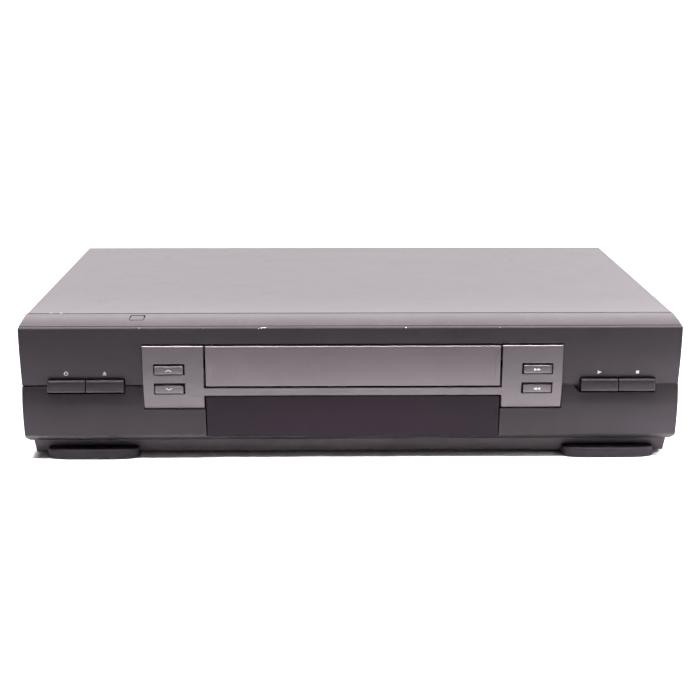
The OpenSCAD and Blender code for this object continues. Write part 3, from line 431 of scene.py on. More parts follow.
def make_chip():
    """Bare edge where the finish has been knocked off."""
    n = Nodes("bare_chip")
    v = n.noise(3000, 4.0, 0.7)
    col = n.mix(n.ramp(v, 0.35, 0.65), (0.45, 0.43, 0.44), (0.85, 0.83, 0.84))
    return n.set(color=col, rough=n.ramp(v, 0.3, 0.7, 0.5, 0.75), normal=n.bump(v, 0.6, 0.00008))


M = {
    "cover_paint": make_cover_paint(),
    "panel_plastic": make_panel_plastic(),
    "trim_silver": metallic_paint("trim_silver", (0.086, 0.0757, 0.0792), 0.33, metal=0.53),
    "flap_silver": metallic_paint("flap_silver", (0.106, 0.0938, 0.0985), 0.33, marks=True, metal=0.7),
    "button_silver": metallic_paint("button_silver", (0.086, 0.0757, 0.0792), 0.33, scale=2.0, metal=0.53),
    "throat_plastic": surface("throat_plastic", (0.012, 0.011, 0.012), rough=0.55, grain=1700, grain_h=0.00004, var=0.15, mottle=60, dust=0.1, spec=0.25),
    "smoked_window": make_window(),
    "button_dark": surface("button_dark", (0.0106, 0.0096, 0.0102), rough=0.34, grain=2600, grain_h=0.00002, var=0.1, mottle=60, rub=0.05, spec=0.39, glint=(1.0, 0.88, 0.95)),
    "base_plastic": surface("base_plastic", (0.0605, 0.0535, 0.0552), rough=0.55, grain=1500, grain_h=0.00005, var=0.12, mottle=26, dust=0.25, spec=0.08),
    "plate_steel": brushed("plate_steel", (0.2, 0.198, 0.2), 0.42, along=0, metal=0.6, spangle=0.25),
    "foot_rubber": make_feet(),
    "rubber": surface("rubber", (0.02, 0.02, 0.02), rough=0.75, grain=1100, grain_h=0.00006, var=0.15, mottle=90, dust=0.3),
    "screw_black": brushed("screw_black", (0.05, 0.05, 0.052), 0.38, along=1, metal=0.85, scale=2.0),
    "connector_metal": brushed("connector_metal", (0.62, 0.6, 0.55), 0.24, along=1, metal=1.0, scale=2.0),
    "can_metal": brushed("can_metal", (0.55, 0.55, 0.54), 0.3, along=0, metal=0.95, spangle=0.2),
    "connector_black": surface("connector_black", (0.018, 0.018, 0.019), rough=0.42, grain=1900, var=0.15, mottle=120, dust=0.2),
    "jack_colours": make_jacks(),
    "board_front": make_board("board_front", 0.5, (0.3, 0.19, 0.08), parts_dark=False),
    "board_main": make_board("board_main", 0.01362, (0.3, 0.19, 0.08)),
    "tube_glass": surface("tube_glass", (0.02, 0.035, 0.035), rough=0.12, grain=900, grain_h=0.00001, grain_s=0.1, var=0.25, mottle=45, coat=0.6, coat_rough=0.04),
    "part_yellow": make_transformer(),
    "part_dark": surface("part_dark", (0.025, 0.03, 0.07), rough=0.3, grain=1500, grain_h=0.00001, var=0.2, mottle=60, dust=0.2, coat=0.3, coat_rough=0.2),
    "deck_steel": brushed("deck_steel", (0.55, 0.55, 0.56), 0.32, along=0, metal=0.9, spangle=0.28),
    "deck_steel_y": brushed("deck_steel_y", (0.56, 0.56, 0.57), 0.3, along=1, metal=0.9, spangle=0.22),
    "drum_aluminium": turned("drum_aluminium", (0.72, 0.72, 0.73), -0.004, 0.05035),
    "spindle_steel": turned("spindle_steel", (0.6, 0.6, 0.61), 0.066, 0.02435, 0.2),
    "deck_plastic": surface("deck_plastic", (0.68, 0.65, 0.58), rough=0.42, grain=1400, grain_h=0.00002, var=0.06, mottle=70, dust=0.2, sss=0.05),
    "gear_amber": surface("gear_amber", (0.6, 0.5, 0.3), rough=0.38, grain=1400, grain_h=0.00002, var=0.08, mottle=80, sss=0.05),
    "motor_green": surface("motor_green", (0.03, 0.12, 0.05), rough=0.4, grain=1300, var=0.15, mottle=70, coat=0.2, coat_rough=0.25),
    "switch_dark": surface("switch_dark", (0.03, 0.03, 0.033), rough=0.4, grain=1700, var=0.15, mottle=200),
    "sensor_lens": surface("sensor_lens", (0.025, 0.012, 0.02), rough=0.12, grain=1500, grain_h=0.00001, grain_s=0.1, var=0.3, mottle=200, coat=0.5, coat_rough=0.05),
    "spring_wire": brushed("spring_wire", (0.6, 0.6, 0.6), 0.25, along=0, metal=1.0, scale=3.0),
    "head_metal": brushed("head_metal", (0.62, 0.58, 0.48), 0.25, along=2, metal=0.95, scale=2.0),
    "print_white": make_print(),
    "bare_chip": make_chip(),
}

# --------------------------------------------------------------- mesh helpers
COLL = bpy.context.scene.collection


def raw(name, verts, faces):
    me = bpy.data.meshes.new(name)
    me.from_pydata([V(*v) for v in verts], [], faces)
    me.validate()
    bm = bmesh.new()
    bm.from_mesh(me)
    bmesh.ops.recalc_face_normals(bm, faces=bm.faces)
    bm.to_mesh(me)
    bm.free()
    o = bpy.data.objects.new(name, me)
    COLL.objects.link(o)
    return o


def prism_x(name, x0, x1, prof, xs=None):
    """An outline in (y, z), drawn out along X. xs adds rings between."""
    xs = [x0] + list(xs or []) + [x1]
    n = len(prof)
    vs = [(x, y, z) for x in xs for y, z in prof]
    fs = []
    for k in range(len(xs) - 1):
        for i in range(n):
            j = (i + 1) % n
            fs.append((k * n + i, k * n + j, (k + 1) * n + j, (k + 1) * n + i))
    fs += [tuple(range(n))[::-1], tuple((len(xs) - 1) * n + i for i in range(n))]
    return raw(name, vs, fs)


def prism_y(name, y0, y1, prof):
    """An outline in (x, z), drawn out along Y."""
    n = len(prof)
    vs = [(x, y, z) for y in (y0, y1) for x, z in prof]
    fs = [(i, (i + 1) % n, n + (i + 1) % n, n + i) for i in range(n)]
    fs += [tuple(range(n))[::-1], tuple(n + i for i in range(n))]
    return raw(name, vs, fs)


def prism_z(name, z0, z1, prof):
    n = len(prof)
    vs = [(x, y, z) for z in (z0, z1) for x, y in prof]
    fs = [(i, (i + 1) % n, n + (i + 1) % n, n + i) for i in range(n)]
    fs += [tuple(range(n))[::-1], tuple(n + i for i in range(n))]
    return raw(name, vs, fs)


def rrect(x0, x1, z0, z1, r, n=5):
    """Outline of a rectangle with round corners."""
    r = min(r, (x1 - x0) / 2 - 1e-4, (z1 - z0) / 2 - 1e-4)
    pts = []
    for cx, cz, a in ((x1 - r, z1 - r, 0), (x0 + r, z1 - r, 90), (x0 + r, z0 + r, 180), (x1 - r, z0 + r, 270)):
        for i in range(n + 1):
            t = math.radians(a + 90 * i / n)
            pts.append((cx + r * math.cos(t), cz + r * math.sin(t)))
    return pts


def cuboid(name, x0, x1, y0, y1, z0, z1):
    return prism_y(name, y0, y1, [(x0, z0), (x1, z0), (x1, z1), (x0, z1)])


def bake(o):
    """The object's mesh with its modifiers applied."""
    bpy.context.view_layer.update()
    dg = bpy.context.evaluated_depsgraph_get()
    me = bpy.data.meshes.new_from_object(o.evaluated_get(dg))
    old = o.data
    o.modifiers.clear()
    o.data = me
    bpy.data.meshes.remove(old)
    return o


def boolean(o, others, op="DIFFERENCE"):
    for c in others:
        m = o.modifiers.new("cut", "BOOLEAN")
        m.operation, m.solver, m.object = op, "EXACT", c
    bake(o)
    for c in others:
        me = c.data
        bpy.data.objects.remove(c)
        bpy.data.meshes.remove(me)
    return o


def join(name, objs):
    """One mesh of several, each kept as its own shell."""
    bm = bmesh.new()
    for o in objs:
        bm.from_mesh(o.data)
    me = bpy.data.meshes.new(name)
    bm.to_mesh(me)
    bm.free()
    out = bpy.data.objects.new(name, me)
    COLL.objects.link(out)
    for o in objs:
        old = o.data
        bpy.data.objects.remove(o)
        bpy.data.meshes.remove(old)
    return out


def edges(o, width=0.25, segs=3, angle=34, weight=True):
    """Rounded edges with soft highlights on otherwise smooth faces."""
    for p in o.data.polygons:
        p.use_smooth = True
    if width:
        b = o.modifiers.new("round", "BEVEL")
        b.width = width * 0.001
        b.segments = segs
        b.limit_method = "ANGLE"
        b.angle_limit = math.radians(angle)
        b.harden_normals = True
        b.miter_outer = "MITER_ARC"
    if weight:
        w = o.modifiers.new("weight", "WEIGHTED_NORMAL")
        w.mode = "FACE_AREA"
        w.keep_sharp = True
    return o


def fit(o, mat, body, replaces=()):
    o.data.materials.clear()
    o.data.materials.append(M[mat])
    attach(o, body)
    if replaces:
        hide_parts(*replaces)
    return o


def arc_pts(cx, cy, r, a0, a1, n):
    return [(cx + r * math.cos(math.radians(a0 + (a1 - a0) * i / n)),
             cy + r * math.sin(math.radians(a0 + (a1 - a0) * i / n))) for i in range(n + 1)]


# ---------------------------------------------------------------- front panel
NOSE = (1.1, 88.95, 1.1)  # centre of the rounded edge in y and z, and its radius


def front_profile():
    pts = []
    for i in range(41):
        y = 28.5 - (28.5 - 3.9) * i / 40
        pts.append((y, ledge_h(y)))
    # the ledge steps down a little to a narrow lip, whose edge is rounded
    pts += [(3.72, NOSE[1] + NOSE[2] + 0.2), (3.6, NOSE[1] + NOSE[2] + 0.02), (3.4, NOSE[1] + NOSE[2] - 0.03),
            (2.4, NOSE[1] + NOSE[2] - 0.01)]
    pts += [(NOSE[0] + NOSE[0] * math.cos(math.radians(a)), NOSE[1] + NOSE[2] * math.sin(math.radians(a)))
            for a in (90, 102, 114, 126, 138, 150, 162, 174)]
    z = 87.9
    while z > 50.75:
        pts.append((front_y(z), z))
        z -= 0.9
    pts.append((front_y(50.7), 50.7))
    z = 50.2
    while z > 17.2:
        pts.append((front_y(z), z))
        z -= 0.9
    # the lower edge turns under in a soft curve
    pts += [(3.97, 16.9), (4.17, 16.4), (4.48, 15.9), (4.91, 15.4), (5.46, 14.85), (6.13, 14.2), (6.9, 13.5),
            (7.7, 12.82), (8.45, 12.2), (9.1, 11.75), (9.8, 11.5), (28.5, 11.5)]
    return pts


def inner_profile():
    pts = [(30.5, 90.8)]
    for i in range(9):
        y = 28.5 - (28.5 - 2.6) * i / 8
        pts.append((y, ledge_h(y) - 2.5))
    pts.append((2.5, 86.4))
    for z in range(83, 50, -4):
        pts.append((front_y(z) + 2.5, z))
    for z in range(50, 16, -4):
        pts.append((front_y(z) + 2.5, z))
    pts += [(9, 14), (30.5, 14)]
    return pts


def build_panel():
    o = prism_x("panel_shell", -215.5, 215.5, front_profile(), xs=[-212, -150, -75, 0, 75, 150, 212])
    cut = [prism_x("c0", -213, 213, inner_profile()),
           cuboid("c1", -211.8, 211.8, 12.3, 29.5, 10, 14.2)]
    for s in (-1, 1):
        cut.append(prism_y("c2", -5, 35, [(s * 217, 10), (s * 211.69, 10), (s * 212.9, 11.4), (s * 215.5, 14.4), (s * 217, 16.13)][::s]))
    cut += [prism_y("c3", -2, 12, rrect(MX - 137.3, MX + 137.3, 34.5, 79.1, 0.9)),
            prism_y("c4", -2.2, 12.2, rrect(MX - 96.9, MX + 96.9, 14.8, 41, 0.9)),
            prism_y("c5", -2.1, 12.1, rrect(MX - 199.9, MX - 149.1, 45.0, 55.1, 0.9)),
            prism_y("c6", -2.1, 12.1, rrect(MX + 149.1, MX + 199.1, 45.0, 55.1, 0.9))]
    # groove between the bands on the left, and the short pocket on the right
    cut.append(prism_x("c7", -217, -135.0, [(6.4, 49.85), (6.4, 50.55), (-2, 51.0), (-2, 48.2), (2.9, 48.2), (4.55, 49.85)]))
    cut.append(prism_y("c8", -2, 6.2, [(146.6, 50.3), (147.2, 48.6), (148.3, 46.8), (149.7, 45.5), (151, 45.3), (151, 50.9)]))
    # outlined mark on the ledge
    ring = prism_z("c9", 91.7, 95, rrect(-146, -136, 14.2, 24.6, 0.7))
    hole = prism_z("c9b", 91, 96, rrect(-145.25, -136.75, 15.5, 23.3, 0.5))
    cut.append(boolean(ring, [hole]))
    for c in cut:
        boolean(o, [c])
    return edges(o, 0.28, 3, 33)


panel = fit(build_panel(), "panel_plastic", "chassis", ["front_panel"])


# ----------------------------------------------------------------------- trim
def leaf_prof(z0, z1, setback=0.0, thick=2.4, top=(1.4, 1.2), foot=(0.25, 0.35)):
    """Side view of a plate in the leaning plane with a bright upper chamfer."""
    t, f = top, foot
    return [(trim_y(z1) + setback + thick, z1), (trim_y(z1) + setback + t[0], z1),
            (trim_y(z1) + setback + t[0] * 0.82, z1 - t[1] * 0.06),
            (trim_y(z1 - t[1]) + setback + 0.05, z1 - t[1] * 0.93),
            (trim_y(z1 - t[1]) + setback, z1 - t[1] * 1.08)] + [
            (trim_y(z) + setback, z) for z in [z1 - t[1] * 1.3 + (z0 + f[1] - z1 + t[1] * 1.3) * i / 24 for i in range(25)]] + [
            (trim_y(z0) + setback + f[0], z0)] + [
            (trim_y(z) + setback + thick, z) for z in [z0 + (z1 - z0) * i / 12 for i in range(12)]]


SMALL_X, SMALL_Z = (-120.15, 120.8), (61.85, 48.55)


def build_trim():
    body = prism_x("trim_fascia", MX - 137, MX + 137, leaf_prof(34.8, 78.5, top=(1.37, 1.2)))
    # flap opening above the strip, window opening below it
    cuts = [prism_y("t0", -5, 14, rrect(MX - 97.6, MX + 97.6, 49.2, 92, 0.8)),
            prism_y("t1", -5, 14, rrect(MX - 97.6, MX + 97.6, 20, 43.8, 0.8))]
    for x in SMALL_X:
        for zc in SMALL_Z:
            wide = 10.4 if x < 0 else 10.0
            cuts.append(prism_y("t2", -3, 8.2, rrect(MX + x - 20.4 + wide, MX + x + wide, zc - 3.5, zc + 4.0, 0.6)))
    for c in cuts:
        boolean(body, [c])
    edges(body, 0.3, 3, 33)
    # what lies behind the fascia: throat, cheeks, hinge ears, clips and the spring's post
    back = [cuboid("b0", MX - 97, MX + 97, 2.6, 29.5, 46.8, 49.5)]
    for i in range(7):
        x = MX - 78 + i * 26
        back.append(cuboid("b1", x - 1.2, x + 1.2, 6, 29.2, 49.45, 49.6))
    for s in (-1, 1):
        back.append(cuboid("b2", *sorted((MX + s * 96.9, MX + s * 99.3)), 2.6, 29.5, 46.65, 62))
        ear = cuboid("b3", *sorted((MX + s * 97.2, MX + s * 102)), 1.6, 6.3, 69, 78.2)
        pin = prism_x("b4", *sorted((MX + s * 96.5, MX + s * 99.8)), arc_pts(2.6, 77, 1.28, 0, 345, 23))
        back.append(boolean(ear, [pin]))
        back.append(cuboid("b5", *sorted((MX + s * 135, MX + s * 137)), 3.2, 9, 38, 77))
        back.append(cuboid("b6", *sorted((MX + s * 135, MX + s * 140)), 8, 9, 38, 77))
    back.append(prism_x("b7", MX - 104, MX - 98, arc_pts(9, 66, 1.4, 0, 345, 23)))
    back.append(cuboid("b8", MX - 99.4, MX - 97.8, 3.6, 11, 63.5, 70))
    rear = edges(join("trim_throat", back), 0.2, 2, 40)
    fit(rear, "throat_plastic", "chassis")
    return body


trim = fit(build_trim(), "trim_silver", "chassis", ["trim_panel"])


def build_flap():
    o = prism_x("flap_leaf", MX - 96.2, MX + 96.2, leaf_prof(50.4, 78.05, 0.02, 2.55, top=(0.98, 0.98), foot=(0.3, 0.4)),
                xs=[MX - 90, MX, MX + 90])
    edges(o, 0.3, 3, 33)
    parts = []
    for s in (-1, 1):
        a, b = sorted((MX + s * 92, MX + s * 96))
        parts.append(prism_x("f1", a, b, arc_pts(2.7, 77, 1.4, -90, 90, 16)))
        a, b = sorted((MX + s * 95.9, MX + s * 99.2))
        parts.append(prism_x("f2", a, b, arc_pts(2.6, 77, 1.2, 0, 345, 23)))
    for x in (-60, 0, 60):
        parts.append(prism_x("f3", MX + x - 0.6, MX + x + 0.6, [(3.6, 54), (4.6, 55.2), (4.6, 72.8), (3.2, 74), (2.3, 74), (2.4, 64), (2.8, 54)]))
    # a shallow rib across the inside face, near its foot
    parts.append(prism_x("f4", MX - 88, MX + 88, [(trim_y(53) + 2.5, 52.6), (trim_y(53) + 3.0, 52.6), (trim_y(53) + 3.0, 53.4), (trim_y(53) + 2.5, 53.4)]))
    # a dark bead along the hinge line closes the view over the flap's top edge; it stands in for the shade in the gap
    # there
    parts.append(prism_x("f5", MX - 91.5, MX + 91.5, [(2.3, 77.2), (4.4, 77.2), (4.5, 77.6), (4.3, 78.2), (3.95, 78.55), (3.55, 78.78), (3.1, 78.84), (2.3, 78.6)]))
    ribs = edges(join("flap_ribs", parts), 0.15, 2, 40)
    fit(ribs, "throat_plastic", "flap")
    return o


flap = fit(build_flap(), "flap_silver", "flap", ["cassette_door"])


def build_window():
    # a pane with round corners in the leaning plane, its front edges softened
    rings = []
    for inset, depth in ((0.0, 2.2), (0.0, 0.55), (0.07, 0.3), (0.22, 0.12), (0.45, 0.03), (0.8, 0.0), (2.5, 0.0)):
        rings.append([(x, plane_y(z) + 0.15 + depth, z) for x, z in
                      rrect(MX - 96.6 + inset, MX + 96.6 - inset, 15 + inset, 43.4 - inset, max(1.2 - inset * 0.6, 0.2), 6)])
    n = len(rings[0])
    vs = [v for r in rings for v in r]
    fs = [tuple(range(n))]
    for k in range(len(rings) - 1):
        fs += [(k * n + i, k * n + (i + 1) % n, (k + 1) * n + (i + 1) % n, (k + 1) * n + i) for i in range(n)]
    fs.append(tuple((len(rings) - 1) * n + i for i in range(n)))
    pane = edges(raw("window_pane", vs, fs), 0, weight=True)
    tabs = [cuboid("w1", *sorted((MX + s * 93.8, MX + s * 96.6)), 6.2, 9, 18, 32) for s in (-1, 1)]
    fit(edges(join("window_tabs", tabs), 0.2, 2, 40), "smoked_window", "chassis")
    return pane


window = fit(build_window(), "smoked_window", "chassis", ["display_window"])


# -------------------------------------------------------------------- buttons
def capped(name, x0, x1, prof, tail, ends=(0.35, 0.35), steps=4):
    """A key cap: a side view drawn along X whose ends are rounded back in plan."""
    e0, e1 = ends
    y_back = max(p[0] for p in prof)
    zc = sum(p[1] for p in prof) / len(prof)
    left = [(x0 + e0 * (1 - math.cos(math.radians(90 * i / steps))), e0 * (1 - math.sin(math.radians(90 * i / steps)))) for i in range(steps + 1)]
    right = [(x1 - e1 * (1 - math.cos(math.radians(90 * i / steps))), e1 * (1 - math.sin(math.radians(90 * i / steps)))) for i in range(steps + 1)][::-1]
    rings = []
    for x, back in left + right:
        ring = []
        for y, z in prof:
            if y >= y_back - 1e-6:
                ring.append((x, y, z))
            else:
                k = back
                zz = z + (zc - z) * min(0.25, k / max(abs(z - zc), 0.5)) * 0.6
                ring.append((x, min(y + k, y_back - 0.01), zz))
        rings.append(ring)
    n = len(prof)
    vs = [v for r in rings for v in r]
    fs = [tuple(range(n))[::-1], tuple((len(rings) - 1) * n + i for i in range(n))]
    for k in range(len(rings) - 1):
        fs += [(k * n + i, k * n + (i + 1) % n, (k + 1) * n + (i + 1) % n, (k + 1) * n + i) for i in range(n)]
    return raw(name, vs, fs)


def big_profile():
    z0, z1 = 46.6, 54.7
    pts = [(9.6, z0), (0.75, z0), (0.38, z0 + 0.1), (0.08, z0 + 0.3), (-0.12, z0 + 0.6), (-0.22, z0 + 0.9)]
    for i in range(0, 10):
        t = i / 9
        z = z0 + 1.1 + (z1 - 1.7 - z0 - 1.1) * t
        pts.append((-0.38 + 0.3 * t * t + 0.12 * (1 - t) ** 2, z))
    pts += [(-0.03, z1 - 1.4), (0.1, z1 - 1.2), (0.84, z1 - 0.12), (1.12, z1), (9.6, z1)]
    return pts


def build_big(node, x0, x1, out, outer_left):
    ends = (0.9, 0.35) if outer_left == -1 else ((0.35, 0.9) if outer_left == 1 else (0.35, 0.35))
    cap = capped(node.replace("_button", "_key"), MX + x0, MX + x1, big_profile(), None, ends)
    edges(cap, 0, weight=True)
    for p in cap.data.polygons:
        p.use_smooth = True
    a, b = (x0 - 1.4, x1) if out < 0 else (x0, x1 + 1.4)
    xc = (x0 + x1) / 2
    stem = join(node.replace("_button", "_stem"), [
        cuboid("s1", MX + a, MX + b, 8.4, 9.6, 44.0, 56.1),
        cuboid("s2", MX + xc - 2, MX + xc + 2, 9.5, 15.4, 48.5, 51.5),
        cuboid("s3", MX + xc - 6, MX + xc + 6, 9.5, 11, 49.6, 50.4)])
    fit(edges(stem, 0.2, 2, 40), "button_dark", node)
    return fit(cap, "button_dark", node, [node])


build_big("power_button", -199.5, -174.9, -1, -1)
build_big("eject_button", -174.3, -149.7, 1, 0)
build_big("play_button", 149.7, 173.9, -1, 0)
build_big("stop_button", 174.5, 198.6, 1, 1)


def small_profile(zc):
    z0, z1 = zc - 3.1, zc + 3.15
    f = [(7.2, z0), (trim_y(z0) + 0.3, z0), (trim_y(z0), z0 + 0.08), (trim_y(z0) - 0.2, z0 + 0.28), (trim_y(z0) - 0.28, z0 + 0.5)]
    za, zb = z0 + 0.7, z1 - 1.25
    for i in range(10):
        t = i / 9
        z = za + (zb - za) * t
        # bulging face: it looks down at its foot and up at its head
        f.append((trim_y(z) - 0.42 + 0.36 * t * t + 0.1 * (1 - t) ** 2, z))
    f += [(trim_y(z1) - 0.02, z1 - 1.1), (trim_y(z1) + 0.08, z1 - 0.96), (trim_y(z1) + 1.05, z1 - 0.1), (trim_y(z1) + 1.25, z1), (7.2, z1)]
    return f


def build_small(node, x, zc):
    cap = capped(node.replace("_button", "_key"), MX + x - 9.2, MX + x + 9.2, small_profile(zc), None, (0.3, 0.3), 3)
    edges(cap, 0, weight=True)
    stem = join(node.replace("_button", "_stem"), [
        cuboid("s1", MX + x - 10.7, MX + x + 10.7, 6, 7.2, zc - 4.4, zc + 4.4),
        cuboid("s2", MX + x - 2, MX + x + 2, 7.1, 15.4, zc - 1.5, zc + 1.5)])
    fit(edges(stem, 0.2, 2, 40), "throat_plastic", node)
    return fit(cap, "button_silver", node, [node])


build_small("channel_up_button", SMALL_X[0], SMALL_Z[0])
build_small("channel_down_button", SMALL_X[0], SMALL_Z[1])
build_small("fast_forward_button", SMALL_X[1], SMALL_Z[0])
build_small("rewind_button", SMALL_X[1], SMALL_Z[1])


# ----------------------------------------------------------------- front feet
def build_foot(node, cx):
    def outline(inset):
        a, b = 30.4 - inset, 9.5 - inset
        pts = []
        for i in range(49):
            c, d = math.cos(math.radians(180 + 180 * i / 48)), math.sin(math.radians(180 + 180 * i / 48))
            pts.append((cx + a * math.copysign(abs(c) ** 0.6, c), 11.5 - b * abs(d) ** 0.6))
        return pts

    rings = []
    for inset, z in ((1.6, 0.0), (0.7, 0.0), (0.25, 0.12), (0.05, 0.4), (0.0, 0.8), (0.0, 5.6), (0.08, 6.1), (0.3, 6.45), (0.7, 6.66), (1.3, 6.7)):
        pts = outline(inset)
        back = 12.2
        rings.append([(x, y, z) for x, y in pts] + [(cx + 30.4 - inset, back, z), (cx - 30.4 + inset, back, z)])
    n = len(rings[0])
    vs = [v for r in rings for v in r]
    fs = [tuple(range(n))[::-1], tuple((len(rings) - 1) * n + i for i in range(n))]
    for k in range(len(rings) - 1):
        fs += [(k * n + i, k * n + (i + 1) % n, (k + 1) * n + (i + 1) % n, (k + 1) * n + i) for i in range(n)]
    toe = edges(raw(node.replace("front_foot", "foot_toe"), vs, fs), 0)
    slab = cuboid("g1", cx - 30.4, cx + 30.4, 11.6, 41, 0.0, 3.0)
    pockets = [prism_z("g2", -1, 1.1, rrect(cx - 24 + i * 17, cx - 10 + i * 17, 17, 37, 2)) for i in range(3)]
    for p in pockets:
        boolean(slab, [p])
    slab.name = node.replace("front_foot", "foot_slab")
    fit(edges(slab, 0.3, 2, 40), "foot_rubber", "chassis")
    return fit(toe, "foot_rubber", "chassis", [node])


build_foot("front_foot_left", -171.4)
build_foot("front_foot_right", 171.6)


# -------------------------------------------------------------------- symbols
def symbol(name, polys, ysurf, body, lift=0.03, thick=0.06):
    """Thin ink on a surface: outlines in (x, z), laid on the depth that ysurf gives."""
    vs, fs = [], []
    for poly in polys:
        k = len(vs)
        m = len(poly)
        vs += [(x, ysurf(z) - lift, z) for x, z in poly]
        vs += [(x, ysurf(z) - lift + thick, z) for x, z in poly]
        fs += [tuple(range(k, k + m)), tuple(range(k + m, k + 2 * m))[::-1]]
        fs += [(k + i, k + (i + 1) % m, k + m + (i + 1) % m, k + m + i) for i in range(m)]
    o = raw(name, vs, fs)
    return fit(o, "print_white", body)


def ring_poly(cx, cz, r0, r1, a0, a1, n=14):
    out = [(cx + r1 * math.cos(math.radians(a0 + (a1 - a0) * i / n)), cz + r1 * math.sin(math.radians(a0 + (a1 - a0) * i / n))) for i in range(n + 1)]
    back = [(cx + r0 * math.cos(math.radians(a0 + (a1 - a0) * i / n)), cz + r0 * math.sin(math.radians(a0 + (a1 - a0) * i / n))) for i in range(n + 1)][::-1]
    return out + back


def chevron(cx, cz, w, h, t, up=1):
    return [(cx - w, cz - up * h / 2), (cx, cz + up * h / 2), (cx + w, cz - up * h / 2),
            (cx + w, cz - up * h / 2 - up * t), (cx, cz + up * h / 2 - up * t), (cx - w, cz - up * h / 2 - up * t)]


# power, eject, play and stop, above their keys
zs = 58.9
symbol("sign_power", [ring_poly(-186.2, zs, 1.0, 1.38, 122, 418, 18), [(-186.38, zs + 0.35), (-186.02, zs + 0.35), (-186.02, zs + 1.7), (-186.38, zs + 1.7)]], front_y, "chassis")
symbol("sign_eject", [[(-162.4, zs - 0.2), (-160.0, zs - 0.2), (-161.2, zs + 1.35)], [(-162.4, zs - 1.1), (-160.0, zs - 1.1), (-160.0, zs - 0.65), (-162.4, zs - 0.65)]], front_y, "chassis")
symbol("sign_play", [[(161.6, zs - 1.2), (164.2, zs), (161.6, zs + 1.2)]], front_y, "chassis")
symbol("sign_stop", [[(186.9, zs - 1.0), (188.9, zs - 1.0), (188.9, zs + 1.0), (186.9, zs + 1.0)]], front_y, "chassis")


def key_face(zc):
    prof = small_profile(zc)

    def at(z):
        pts = sorted((p[1], p[0]) for p in prof if p[0] < 7)
        for (za, ya), (zb, yb) in zip(pts, pts[1:]):
            if za <= z <= zb:
                return ya + (yb - ya) * (z - za) / max(zb - za, 1e-6)
        return pts[0][1]
    return at


symbol("sign_up", [chevron(MX + SMALL_X[0] - 0.2, SMALL_Z[0] - 0.25, 2.0, 1.1, 0.6, 1)], key_face(SMALL_Z[0]), "channel_up_button")
symbol("sign_down", [chevron(MX + SMALL_X[0] - 0.2, SMALL_Z[1] - 0.1, 2.0, 1.1, 0.6, -1)], key_face(SMALL_Z[1]), "channel_down_button")
for nm, zc, s in (("forward", SMALL_Z[0], 1), ("back", SMALL_Z[1], -1)):
    tri = []
    for k in (-1.15, 1.15):
        cx = MX + SMALL_X[1] - 0.2 + k
        tri.append([(cx - s * 1.15, zc - 0.3 - 0.95), (cx + s * 1.15, zc - 0.3), (cx - s * 1.15, zc - 0.3 + 0.95)])
    symbol("sign_" + nm, tri, key_face(zc), "fast_forward_button" if s > 0 else "rewind_button")


# ------------------------------------------------------- chips along the nose
def nose_surface(t):
    """A point on the nose: t = 0 on the ledge side, 1 on the front."""
    a = math.radians(90 + 84 * t)
    return NOSE[0] + NOSE[0] * math.cos(a), NOSE[1] + NOSE[2] * math.sin(a)


def chip(name, x, w, t0, t1, seed):
    r = random.Random(seed)
    vs, m = [], 12
    for i in range(m):
        a = 2 * math.pi * i / m
        k = 0.6 + 0.5 * r.random()
        px = x + w * 0.5 * k * math.cos(a)
        t = (t0 + t1) / 2 + (t1 - t0) / 2 * k * math.sin(a)
        y, z = nose_surface(min(1.0, max(0.0, t)))
        vs.append((px, y - 0.02 * t, z + 0.03 * (1 - t) + 0.012))
    y, z = nose_surface((t0 + t1) / 2)
    vs.append((x, y - 0.04, z + 0.05))
    low = [(a, b + 0.12, c - 0.12) for a, b, c in vs[:m]]
    base = len(vs)
    vs += low
    fs = [(i, (i + 1) % m, m) for i in range(m)] + [((i + 1) % m, i, base + i, base + (i + 1) % m) for i in range(m)]
    fs.append(tuple(range(base, base + m))[::-1])
    return fit(raw(name, vs, fs), "bare_chip", "chassis")


for k, (x, w, t0, t1) in enumerate(((-58.4, 1.5, 0.2, 0.7), (-56.2, 2.2, 0.1, 0.5), (-60.2, 0.9, 0.7, 0.95),
                                    (35.2, 1.2, 0.25, 0.7), (-137.3, 0.6, 0.3, 0.6), (96.0, 0.6, 0.4, 0.7), (-96.0, 0.35, 0.5, 0.7))):
    chip("chip_%d" % k, x, w, t0, t1, 40 + k)

# ------------------------------------------------------------------ CAD nodes
LOOK = {
    "top_cover": "cover_paint", "main_frame": "base_plastic", "bottom_plate": "plate_steel", "rear_panel": "plate_steel",
    "rear_feet": "rubber", "case_screws": "screw_black", "door_spring": "spring_wire",
    "rf_connectors": "connector_metal", "av_jack_block": "connector_black", "av_jack_sleeves": "connector_metal",
    "av_jack_inserts": "jack_colours", "power_inlet": "connector_black", "front_board": "board_front",
    "display_tube": "tube_glass", "tact_switches": "switch_dark", "remote_sensor": "sensor_lens",
    "main_board": "board_main", "tuner_can": "can_metal", "power_board": "board_main",
    "power_transformer": "part_yellow", "main_capacitor": "part_dark", "deck_chassis": "deck_steel",
    "carriage_sides": "deck_steel_y", "carriage_bridge": "deck_steel", "carriage_sliders": "deck_plastic",
    "cassette_basket": "deck_steel", "loading_shaft": "connector_metal", "lower_drum": "drum_aluminium",
    "upper_drum": "drum_aluminium", "capstan": "spindle_steel", "capstan_motor": "motor_green",
    "clutch_pulley": "deck_plastic", "drive_belt": "rubber", "supply_reel": "deck_plastic",
    "takeup_reel": "deck_plastic", "idler_arm": "deck_steel_y", "idler_gear": "gear_amber",
    "pinch_arm": "deck_steel_y", "pinch_roller": "rubber", "supply_guide": "connector_metal",
    "takeup_guide": "connector_metal", "tension_arm": "deck_steel_y", "tape_heads": "head_metal",
    "mode_gear": "gear_amber", "loading_motor": "can_metal", "loading_worm": "gear_amber",
}
